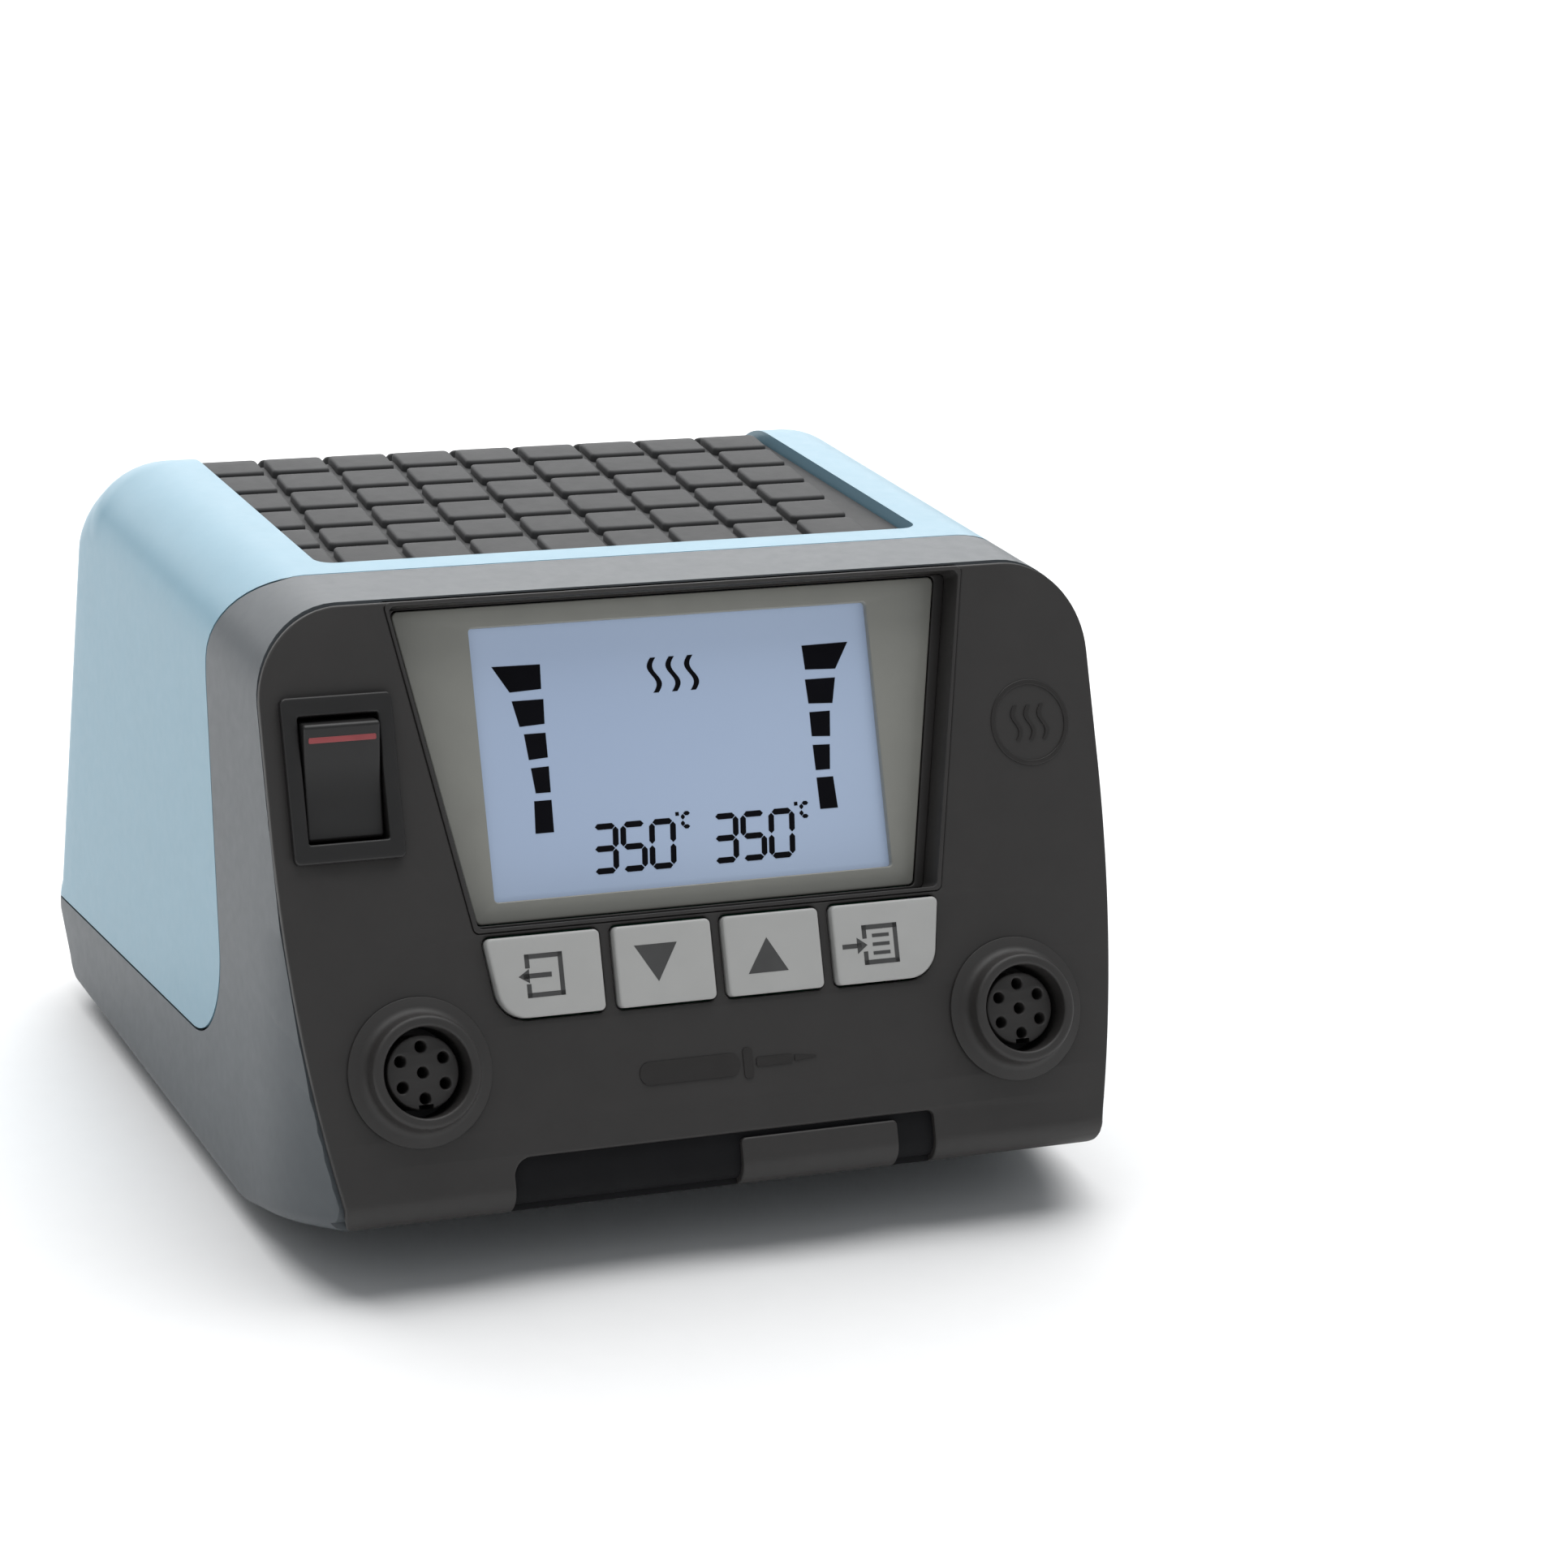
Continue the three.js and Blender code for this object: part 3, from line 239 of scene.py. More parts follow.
def offset(points, distance):
    """The outline moved to its left by a distance, with mitred corners."""
    along = np.roll(points, -1, 0) - points
    along /= np.linalg.norm(along, axis=1)[:, None]
    left = np.column_stack([-along[:, 1], along[:, 0]])
    last = np.roll(left, 1, 0)
    share = 1 + np.sum(left * last, axis=1)
    return points + (left + last) / np.maximum(share, 0.3)[:, None] * distance


# ---- Meshes ---------------------------------------------------------------------------------
def make(name, vertices, faces, material=None, place=HERE):
    """A mesh object from millimetre vertices, moved to its place in the model."""
    mesh = bpy.data.meshes.new(name)
    mesh.from_pydata([(place @ Vector(v)) * MM for v in vertices], [], faces)
    bm = bmesh.new()
    bm.from_mesh(mesh)
    bmesh.ops.remove_doubles(bm, verts=bm.verts, dist=WELD)
    bmesh.ops.recalc_face_normals(bm, faces=bm.faces)
    bm.to_mesh(mesh)
    bm.free()
    obj = bpy.data.objects.new(name, mesh)
    bpy.context.scene.collection.objects.link(obj)
    finish_mesh(obj)
    if material:
        mesh.materials.append(material)
    return obj


def finish_mesh(obj, sharp=35):
    """Shades a mesh smooth, except at edges sharper than so many degrees."""
    obj.data.shade_smooth()
    obj.data.set_sharp_from_angle(angle=rad(sharp))


def plate(name, outer, holes, z, place, material=None, bevel=0.3, back_bevel=0.0, steps=3):
    """A flat plate between two heights, with rounded rims round its outline and its holes."""
    loops = [outer if area(outer) > 0 else outer[::-1]]
    loops += [hole if area(hole) < 0 else hole[::-1] for hole in holes]
    low, high = z
    levels = [(back_bevel, low)] if back_bevel else [(0, low)]
    for k in range(1, steps + 1 if back_bevel else 1):
        a = rad(90 * k / steps)
        levels.append((back_bevel * (1 - math.sin(a)), low + back_bevel * (1 - math.cos(a))))
    for k in range(steps + 1 if bevel else 1):
        a = rad(90 * k / steps) if bevel else 0
        levels.append((bevel * (1 - math.cos(a)), high - bevel * (1 - math.sin(a))))
    vertices, faces, rows = [], [], []
    for inset, height in levels:
        row = []
        for loop in loops:
            row.append(len(vertices))
            vertices += [(x, y, height) for x, y in offset(loop, inset)]
        rows.append(row)
    for lower, upper in zip(rows, rows[1:]):
        for a, b, loop in zip(lower, upper, loops):
            n = len(loop)
            faces += [(a + i, a + (i + 1) % n, b + (i + 1) % n, b + i) for i in range(n)]
    for row, level, flip in ((rows[0], levels[0], True), (rows[-1], levels[-1], False)):
        flat = [[Vector((x, y, 0)) for x, y in offset(loop, level[0])] for loop in loops]
        index = [start + i for start, loop in zip(row, loops) for i in range(len(loop))]
        for a, b, c in tessellate_polygon(flat):
            triangle = (index[a], index[b], index[c])
            faces.append(triangle[::-1] if flip else triangle)
    return make(name, vertices, faces, material, place)


def turned(name, section, centre, place, material):
    """A round piece from its half section, a closed list of (radius, height)."""
    count = 96
    vertices, faces = [], []
    for k in range(count):
        a = 2 * math.pi * k / count
        vertices += [
            (centre[0] + r * math.cos(a), centre[1] + r * math.sin(a), z) for r, z in section
        ]
    n = len(section)
    for k in range(count):
        here, there = k * n, (k + 1) % count * n
        faces += [
            (here + i, there + i, there + (i + 1) % n, here + (i + 1) % n) for i in range(n)
        ]
    return make(name, vertices, faces, material, place)


def combine(obj, tool, operation):
    """Cuts, joins or intersects two closed solids, and discards the second."""
    modifier = obj.modifiers.new("solid", "BOOLEAN")
    modifier.operation = operation
    modifier.object = tool
    modifier.solver = "MANIFOLD"
    seen = obj.evaluated_get(bpy.context.evaluated_depsgraph_get())
    mesh = bpy.data.meshes.new_from_object(seen)
    obj.modifiers.clear()
    old = obj.data
    obj.data = mesh
    bpy.data.meshes.remove(old)
    bpy.data.meshes.remove(tool.data)
    return obj


def cut(obj, *tools):
    for tool in tools:
        combine(obj, tool, "DIFFERENCE")
    return obj


def keep(obj, tool):
    return combine(obj, tool, "INTERSECT")


def slice_across(bm, spot, normal):
    """Adds the edges where a plane crosses a mesh."""
    everything = bm.verts[:] + bm.edges[:] + bm.faces[:]
    bmesh.ops.bisect_plane(bm, geom=everything, dist=WELD, plane_co=spot, plane_no=normal)


def block(x, y, z, place=HERE):
    return prism(rectangle(x, y, 0), z, place)


def prism(points, z, place=HERE):
    return plate("tool", points, [], z, place, bevel=0)


def place_on(obj, body, *nodes, slot=None):
    """Rides the piece on a body, in place of the given CAD nodes. Its slot is not used."""
    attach(obj, body)
    if nodes:
        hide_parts(*nodes)


# ---- Materials ------------------------------------------------------------------------------
class Shader:
    """One node material: surface is its principled node, place the point on the piece."""

    def __init__(self, name):
        self.material = bpy.data.materials.new(name)
        self.material.use_nodes = True
        self.tree = self.material.node_tree
        self.surface = self.tree.nodes["Principled BSDF"]
        self.place = self.node("ShaderNodeTexCoord").outputs["Object"]

    def node(self, kind, **inputs):
        made = self.tree.nodes.new(kind)
        for key, value in inputs.items():
            made.inputs[key.replace("_", " ")].default_value = value
        return made

    def link(self, output, target):
        self.tree.links.new(output, target)

    def feed(self, socket, output):
        """Drives one of the surface's own sockets."""
        self.link(output, self.surface.inputs[socket])

    def noise(self, size, detail=3.0):
        """Noise whose features are about size millimetres across."""
        made = self.node("ShaderNodeTexNoise", Scale=1 / (size * MM), Detail=detail)
        self.link(self.place, made.inputs["Vector"])
        return made.outputs["Fac"]

    def ramp(self, source, *stops):
        made = self.tree.nodes.new("ShaderNodeValToRGB")
        elements = made.color_ramp.elements
        while len(elements) < len(stops):
            elements.new(0.5)
        for element, (position, colour) in zip(elements, stops):
            element.position = position
            element.color = (*colour, 1)
        self.link(source, made.inputs["Fac"])
        return made.outputs["Color"]

    def map_range(self, source, low, high):
        made = self.node("ShaderNodeMapRange", To_Min=low, To_Max=high)
        self.link(source, made.inputs["Value"])
        return made.outputs["Result"]

    def bump(self, source, strength, height):
        """Surface relief, height millimetres deep."""
        made = self.node("ShaderNodeBump", Strength=strength, Distance=height * MM)
        self.link(source, made.inputs["Height"])
        self.feed("Normal", made.outputs["Normal"])

    def set(self, **values):
        """Sets the surface's sockets that are the same all over."""
        for key, value in values.items():
            self.surface.inputs[key.replace("_", " ")].default_value = value


def shade(colour, factor):
    return tuple(min(1.0, channel * factor) for channel in colour)


def moulded(name, colour, rough=0.5, drift=0.06, grain=0.25, height=0.012, mottle=6.0, **values):
    """Moulded plastic or satin paint: slow colour drift, uneven gloss and a fine surface grain.

    The grain's size and height and the mottle's size are in millimetres. What else is given is
    set on the surface as it stands.
    """
    shader = Shader(name)
    cloud = shader.noise(mottle, 4)
    dark, light = shade(colour, 1 - drift), shade(colour, 1 + drift)
    shader.feed("Base Color", shader.ramp(cloud, (0.3, dark), (0.7, light)))
    gloss = shader.map_range(shader.noise(mottle / 3), rough - 0.05, rough + 0.05)
    shader.feed("Roughness", gloss)
    shader.bump(shader.noise(grain, 2), 0.5, height)
    shader.set(**values)
    return shader.material


def metal(name, colour, rough=0.3):
    """Bare metal with fine drawn or turned streaks."""
    shader = Shader(name)
    mapping = shader.node("ShaderNodeMapping", Scale=(1, 1, 14))
    shader.link(shader.place, mapping.inputs["Vector"])
    streak = shader.node("ShaderNodeTexNoise", Scale=900.0, Detail=4.0)
    shader.link(mapping.outputs["Vector"], streak.inputs["Vector"])
    streaks = streak.outputs["Fac"]
    shader.feed("Base Color", shader.ramp(streaks, (0.3, shade(colour, 0.82)), (0.7, colour)))
    shader.feed("Roughness", shader.map_range(streaks, rough - 0.08, rough + 0.1))
    shader.bump(streaks, 0.2, 0.01)
    shader.set(Metallic=1.0)
    return shader.material


def display_glass():
    """The lit display: a slightly uneven blue-grey glow behind smooth glass."""
    shader = Shader("display_glass")
    dim, bright = (0.30, 0.375, 0.51), (0.34, 0.415, 0.545)
    glow = shader.ramp(shader.noise(60, 1), (0.3, dim), (0.7, bright))
    shader.feed("Base Color", glow)
    shader.feed("Emission Color", glow)
    shader.set(Emission_Strength=0.34, Coat_Weight=0.3)
    shader.feed("Roughness", shader.map_range(shader.noise(0.6), 0.3, 0.36))
    return shader.material


def circuit_board():
    """Green solder mask over faint tracks."""
    shader = Shader("circuit_board")
    cells = shader.node("ShaderNodeTexVoronoi", Scale=260.0)
    cells.distance = "MANHATTAN"
    shader.link(shader.place, cells.inputs["Vector"])
    tracks = cells.outputs["Distance"]
    dark, light = (0.012, 0.11, 0.045), (0.02, 0.17, 0.07)
    shader.feed("Base Color", shader.ramp(tracks, (0.25, dark), (0.6, light)))
    shader.bump(tracks, 0.2, 0.03)
    shader.set(Roughness=0.35, Coat_Weight=0.3)
    return shader.material


def taped_winding():
    """Yellow polyester tape wound round a ring."""
    shader = Shader("taped_winding")
    wave = shader.node("ShaderNodeTexWave", Scale=90.0, Distortion=1.5)
    shader.link(shader.place, wave.inputs["Vector"])
    turns = wave.outputs["Fac"]
    edge, middle = (0.42, 0.24, 0.03), (0.62, 0.40, 0.06)
    shader.feed("Base Color", shader.ramp(turns, (0.2, edge), (0.8, middle)))
    shader.bump(turns, 0.4, 0.1)
    shader.set(Roughness=0.4)
    return shader.material


def make_materials():
    """Every finish by its slot, or by what it is drawn with.

    A moulded finish gives its colour, roughness, colour drift, and its grain's size and height.
    """
    satin, matt, dull = (dict(Specular_IOR_Level=level) for level in (0.35, 0.25, 0.15))
    return dict(
        housing=moulded("housing_paint", (0.072, 0.082, 0.090), 0.42, 0.03, 0.3, 0.01, **satin),
        cover=moulded("cover_blue", (0.205, 0.36, 0.45), 0.36, 0.015, 0.35, 0.008, **satin),
        panel=moulded("panel_black", (0.0265, 0.0245, 0.0235), 0.54, 0.05, 0.35, 0.02),
        rubber=moulded("mat_rubber", (0.062, 0.062, 0.063), 0.7, 0.08, 0.5, 0.04, **matt),
        bezel=moulded("bezel_grey", (0.265, 0.265, 0.24), 0.35, 0.03, 0.5, 0.004, Coat_Weight=0.3),
        lcd=display_glass(),
        key=moulded("key_grey", (0.42, 0.42, 0.41), 0.45, 0.02, 0.3, 0.008),
        black=moulded("black_plastic", (0.011, 0.0105, 0.0105), 0.45, 0.08, 0.4, 0.012),
        board=circuit_board(),
        steel=metal("zinc_steel", (0.62, 0.63, 0.64)),
        brass=metal("nickel_brass", (0.66, 0.60, 0.42), 0.28),
        winding=taped_winding(),
        aluminium=metal("extruded_aluminium", (0.66, 0.67, 0.68), 0.4),
        white=moulded("white_plastic", (0.72, 0.71, 0.67), 0.5, 0.03),
        ribbon=moulded("ribbon_grey", (0.30, 0.30, 0.31), 0.5, 0.12, 0.6, 0.03, mottle=1.2),
        ink=moulded(
            "display_ink", (0.002, 0.002, 0.004), 0.7, 0.2, 0.3, 0.002, Specular_IOR_Level=0.1,
        ),
        # The notch's floor and sill: near-black, darker than the panel's own black, as painted shade in
        # the recess under the panel's edge.
        notch=moulded("notch_painted_shade", (0.008, 0.008, 0.009), 0.7, 0.1, 0.3, 0.01, **dull),
        brown=moulded("wire_brown", (0.15, 0.06, 0.025), 0.4, 0.08),
        blue=moulded("wire_blue", (0.05, 0.16, 0.42), 0.4, 0.08),
        print=moulded("key_print", (0.055, 0.055, 0.055), 0.5, 0.1, 0.3, 0.004),
        red=moulded("rocker_red", (0.30, 0.055, 0.06), 0.45, 0.12, 0.3, 0.006),
        relief=moulded("panel_relief", (0.020, 0.018, 0.017), 0.35, 0.08, 0.3, 0.01),
    )


MATERIALS = make_materials()


# ---- The shell's smooth form ----------------------------------------------------------------
def half_width(y, inset=0.0):
    """Half the station's width at a depth: straight sides that curve in towards the face.

    The curve is a plan arc, followed until just before it would turn square to the side.
    """
    near = np.clip(PLAN_TANGENT - y, 0, PLAN_RADIUS - 2)
    return WIDTH / 2 - inset - (PLAN_RADIUS - np.sqrt(PLAN_RADIUS**2 - near**2))


def crossing(a, b):
    """Where two straight sides meet; each is (direction it faces, point on it)."""
    rows = np.array([unit(a[0]), unit(b[0])])
    return np.linalg.solve(rows, [rows[0] @ a[1], rows[1] @ b[1]])


def profile(sides):
    """A rounded side view from sides (direction, point, radius of the corner that follows)."""
    corners = [
        (*crossing(sides[i - 1], side), sides[i - 1][2]) for i, side in enumerate(sides)
    ]
    return rounded(corners, 4)


def side_view(inset=0.0, face=True):
    """The side view, shrunk by inset. Without the face it runs on forwards, to be cut later."""
    under_radius, ramp_radius, run_on, run_on_radius = 8, 10, -112.0, 16
    front = (180, np.array([run_on, 0.0]), run_on_radius)
    top_front_radius = run_on_radius
    if face:
        front = (FACE_DIRECTION, FACE_POINT, max(NOSE_RADIUS - inset, 0.5))
        top_front_radius = 0
    ramp = 270 - RAMP
    sides = [
        (-90, np.array([0, UNDERSIDE]), under_radius - inset),
        (-45, KNEE + KNEE_RADIUS * unit(-45), KNEE_RADIUS - inset),
        (BACK_LEAN, BACK_POINT, TOP_BACK_RADIUS - inset),
        (90, np.array([0, HEIGHT]), top_front_radius),
        front,
        (ramp, NOSE + NOSE_RADIUS * unit(ramp), ramp_radius),
    ]
    return profile([(a, p - inset * unit(a), r) for a, p, r in sides])


def edge_radius(direction, inset):
    """Radius between the side walls and a surface that faces this way in the side view."""
    return max(np.interp(direction, EDGE_TURNS, EDGE_RADII) - inset, LEAST_EDGE_RADIUS)


def body(inset=0.0):
    """The station's outside, or its inside when inset, before the face is cut off.

    Round the side view goes a ring of points. From each, an arc rounds the edge into the side
    wall, and the wall then closes in rings towards a point in its middle.
    """
    spacing, arc, rings = 4, 12, 12
    middle = np.array([2.0, 48.0])
    outline = side_view(inset, face=False)
    spaced = []
    for here, there in zip(outline, np.roll(outline, -1, 0)):
        count = max(1, math.ceil(np.linalg.norm(there - here) / spacing))
        spaced += [here + (there - here) * k / count for k in range(count)]
    points = np.array(spaced)
    along = np.roll(points, -1, 0) - np.roll(points, 1, 0)
    along /= np.linalg.norm(along, axis=1)[:, None]
    outward = np.column_stack([along[:, 1], -along[:, 0]])
    half_rows = []
    for point, out in zip(points, outward):
        direction = math.degrees(math.atan2(out[1], out[0]))
        if direction < EDGE_TURNS[0] - 0.1:
            direction += 360
        r = edge_radius(direction, inset)
        row = [(0.0, *point)]
        for k in range(arc + 1):
            a = rad(90 * k / arc)
            y, z = point - out * r * (1 - math.cos(a))
            row.append((half_width(y, inset) - r * (1 - math.sin(a)), y, z))
        rim = point - out * r
        for k in range(1, rings):
            y, z = rim + (middle - rim) * k / rings
            row.append((half_width(y, inset), y, z))
        half_rows.append(row)
    width = 2 * len(half_rows[0]) - 1
    vertices = []
    for row in half_rows:
        vertices += [(-x, y, z) for x, y, z in row[:0:-1]] + row
    left, right = len(vertices), len(vertices) + 1
    vertices += [(side * half_width(middle[0], inset), *middle) for side in (-1, 1)]
    faces = []
    count = len(half_rows)
    for k in range(count):
        here, there = k * width, (k + 1) % count * width
        faces += [(here + i, here + i + 1, there + i + 1, there + i) for i in range(width - 1)]
        faces += [(left, here, there), (right, there + width - 1, here + width - 1)]
    return make("form", vertices, faces)


def region(shift=0.0):
    """The side view's part that belongs to the housing: all below and in front of the seam."""
    below = [(-FAR, -FAR, 0), (FAR, -FAR, 0)]
    in_front = [(SEAM[-1][0], FAR, 0), (-FAR, FAR, 0)]
    return prism(rounded([*below, *SEAM, *in_front], 3) + shift, (-FAR, FAR), ALONG_X)


def dress(obj, name, material):
    """Names a solid made by cutting, and gives all of it one material."""
    obj.name = name
    obj.data.materials.clear()
    obj.data.materials.append(MATERIALS[material])
    obj.data.polygons.foreach_set("material_index", [0] * len(obj.data.polygons))
    finish_mesh(obj, sharp=30)


def housing():
    """The dark frame and base: hollow, cut back for the panel and open behind the display."""
    shell = cut(keep(body(), region()), body(WALL))
    keep(shell, prism(side_view(), (-FAR, FAR), ALONG_X))
    # Both tools run on past the shell, so that they cut right through it.
    panel_space = rectangle((-80, 80), (LIP_END - GAP, 130), 0)
    front = prism(panel_space, (-PANEL_SKIN - GAP, 3), FACE)
    bend_at_nose(front)
    room = prism(trapezoid(RECESS, RECESS_WALL + GAP), (-7, 1), FACE)
    cut(shell, front, room)
    dress(shell, "housing_shell", "housing")
    place_on(shell, STATION, "lower_housing", slot="housing")


def mat_space(top, bottom, grow=0.0):
    """The space between two depths under the surface, over the top and round the back edge."""
    front, x = MAT_FRONT - grow, MAT_HALF + grow
    count = 19
    points = [(front, HEIGHT - bottom)]
    for depth, turns in ((bottom, np.linspace(0, 1, count)), (top, np.linspace(1, 0, count))):
        radius = TOP_BACK_RADIUS - depth
        end = rad(MAT_WRAP) + grow / radius
        for t in turns:
            points.append(BACK_EDGE + radius * np.array([math.sin(end * t), math.cos(end * t)]))
    points.append((front, HEIGHT - top))
    plan = prism(rectangle((-x, x), (front, FAR), 3), (0, FAR))
    return keep(prism(np.array(points), (-x - 1, x + 1), ALONG_X), plan)


def cover():
    """The blue cover: hollow, with the mat's tray in its top and a window for the rear panel."""
    shell = cut(body(), region(GAP), body(WALL))
    combine(shell, mat_space(WALL / 2, MAT_DEPTH + TRAY_WALL, TRAY_WALL), "UNION")
    half, corner = REAR_WINDOW["half"], REAR_WINDOW["corner"]
    opening = rectangle((-half, half), (REAR_WINDOW["bottom"], REAR_WINDOW["top"]), corner)
    window = prism(opening, (-20, 10), BACK)
    cut(shell, mat_space(-8, MAT_DEPTH), window)
    dress(shell, "cover_shell", "cover")
    place_on(shell, STATION, "top_cover", slot="cover")


# ---- Mat ------------------------------------------------------------------------------------
def bend_at_back(obj):
    """Wraps what runs past the flat top round the back edge, without stretching its top surface.

    It is first cut across every few millimetres, so that it can bend.
    """
    step, count = 1.2, 14
    bm = bmesh.new()
    bm.from_mesh(obj.data)
    for k in range(count):
        spot = Vector((0, BACK_EDGE[0] + step * k, 0)) * MM
        slice_across(bm, spot, (0, 1, 0))
    for vertex in bm.verts:
        x, y, z = vertex.co / MM
        angle = (y - BACK_EDGE[0]) / (TOP_BACK_RADIUS - MAT_SUNK)
        if angle > 0:
            radius = z - BACK_EDGE[1]
            y, z = BACK_EDGE + radius * np.array([math.sin(angle), math.cos(angle)])
            vertex.co = Vector((x, y, z)) * MM
    bm.to_mesh(obj.data)
    bm.free()
    finish_mesh(obj)


def mat():
    """The mat: a base sheet under rows of soft-edged tiles in slanting columns."""
    sheet = mat_space(MAT_SUNK + TILE_DEPTH, MAT_DEPTH - GAP, -GAP)
    dress(sheet, "mat_sheet", "rubber")
    place_on(sheet, STATION, "anti_slip_mat", slot="rubber")
    edge = MAT_HALF - GAP
    half_side, half_front = GROOVE_SIDE / 2, GROOVE_FRONT / 2
    end = BACK_EDGE[0] + (TOP_BACK_RADIUS - MAT_SUNK) * rad(MAT_WRAP) - GAP
    lines = np.arange(MAT_FRONT + TILE_START[1] + TILE_Y, end - GROOVE_FRONT, TILE_Y)
    lows = [MAT_FRONT + GAP, *(lines + half_front)]
    highs = [*(lines - half_front), end]
    into_sheet = 0.2
    levels = (HEIGHT - MAT_SUNK - TILE_DEPTH - into_sheet, HEIGHT - MAT_SUNK)
    tiles = []
    for column in range(TILE_COLUMNS[0] - 1, TILE_COLUMNS[1]):
        for low, high in zip(lows, highs):
            corners = []
            for side, y in ((0, low), (1, low), (1, high), (0, high)):
                x = TILE_START[0] + (column + side) * TILE_X + TILE_SLANT * (y - MAT_FRONT)
                x += half_side if side == 0 else -half_side
                corners.append((max(x, -edge), y, 1.0))
            tiles.append(plate("tile", rounded(corners, 30), [], levels, HERE, bevel=0.5))
    tile = merge("mat_tiles", tiles, MATERIALS["rubber"])
    bend_at_back(tile)
    place_on(tile, STATION, slot="rubber")


def merge(name, objects, material):
    """Several meshes as one piece."""
    bm = bmesh.new()
    for obj in objects:
        bm.from_mesh(obj.data)
    mesh = bpy.data.meshes.new(name)
    bm.to_mesh(mesh)
    bm.free()
    for obj in objects:
        bpy.data.meshes.remove(obj.data)
    mesh.materials.append(material)
    merged = bpy.data.objects.new(name, mesh)
    bpy.context.scene.collection.objects.link(merged)
    finish_mesh(merged)
    return merged


# ---- Front panel ----------------------------------------------------------------------------
def key_outline(name, grow=0.0):
    """A key's outline: the outer lower corners of the first and the last are large and drawn in."""
    left, right = KEYS[name]
    first, last = name == "exit", name == "menu"
    small, large = KEY_SMALL_CORNER + grow, KEY_CORNER + grow
    low, high = KEY_BOTTOM - grow, KEY_TOP + grow
    return rounded([
        (left - grow + first * KEY_SLANT, low, large if first else small),
        (right + grow - last * KEY_SLANT, low, large if last else small),
        (right + grow, high, small),
        (left - grow, high, small),
    ])


def face_depth(s):
    """How far forward the face's surface lies at a height up the slope, or round the nose."""
    if s >= NOSE_TANGENT:
        return FACE_FOOT + s * math.sin(rad(FACE_LEAN))
    return NOSE[0] + NOSE_RADIUS * math.cos(rad(FACE_DIRECTION) + (NOSE_TANGENT - s) / NOSE_RADIUS)


def face_outline():
    """The face's outline, laid flat, with the notch in its lower edge."""
    slope = math.cos(rad(FACE_LEAN))
    top = (HEIGHT - TOP_SIDE_RADIUS) / slope
    half = []
    steps_up, corner_step, beside = 44, 5, 9
    for s in np.linspace(LIP_END, top, steps_up):
        under = max(0, 1 - (s - LIP_END) / UNDER_TAPER_HEIGHT)
        half.append((half_width(face_depth(s)) - UNDER_TAPER * under ** 2, s))
    centre = np.array([half_width(0) - TOP_SIDE_RADIUS, HEIGHT - TOP_SIDE_RADIUS])
    for degrees in range(corner_step, 91, corner_step):
        x, z = centre + TOP_SIDE_RADIUS * unit(degrees)
        half.append((x, z / slope))
    notch = rounded([
        (NOTCH_LEFT - beside, LIP_END, 0), (NOTCH_LEFT, LIP_END, 0), (NOTCH_LEFT, NOTCH_TOP, 3),
        (NOTCH_RIGHT, NOTCH_TOP, 1), (NOTCH_RIGHT, LIP_END, 0), (NOTCH_RIGHT + beside, LIP_END, 0),
    ])[1:-1]
    left = [(-x, s) for x, s in half][::-1]
    return np.array(left + [tuple(p) for p in notch] + half)


def bend_at_nose(obj):
    """Wraps the plate's lower end round the nose, first cut across so that it can bend."""
    step = 0.5
    bm = bmesh.new()
    bm.from_mesh(obj.data)
    up = Vector((0, math.sin(rad(FACE_LEAN)), math.cos(rad(FACE_LEAN))))
    foot = FACE.translation
    for s in np.arange(NOSE_TANGENT, LIP_END - 1, -step):
        slice_across(bm, (foot + up * s) * MM, up)
    centre = Vector((0, *NOSE))
    back = FACE.inverted()
    for vertex in bm.verts:
        x, s, depth = back @ (vertex.co / MM)
        if s >= NOSE_TANGENT:
            continue
        angle = rad(FACE_DIRECTION) + (NOSE_TANGENT - s) / NOSE_RADIUS
        radius = NOSE_RADIUS + depth
        vertex.co = (centre + Vector((x, radius * math.cos(angle), radius * math.sin(angle)))) * MM
    bm.to_mesh(obj.data)
    bm.free()
    finish_mesh(obj, sharp=30)


def panel():
    """The operating panel: a skin with all its openings, bent round the nose.

    The recess's opening stops at the recess's own top, because the panel ends close above it.
    """
    holes = [np.minimum(trapezoid(RECESS, RECESS_WALL), (FAR, RECESS["top"]))]
    holes += [key_outline(name, GAP) for name in KEYS]
    holes += [circle((x, SOCKET_S), SOCKET_HOLE, 64) for x in SOCKETS.values()]
    reach = GAP + ROCKER_OPENING
    holes.append(rectangle(
        (ROCKER_X - ROCKER_HALF - reach, ROCKER_X + ROCKER_HALF + reach),
        (ROCKER_S - ROCKER_LENGTH - reach, ROCKER_S + ROCKER_LENGTH + reach), 0.5,
    ))
    skin = plate(
        "panel_skin", face_outline(), holes, (-PANEL_SKIN, 0), FACE, MATERIALS["panel"],
        bevel=PANEL_RIM,
    )
    bend_at_nose(skin)
    place_on(skin, STATION, "front_panel", slot="panel")


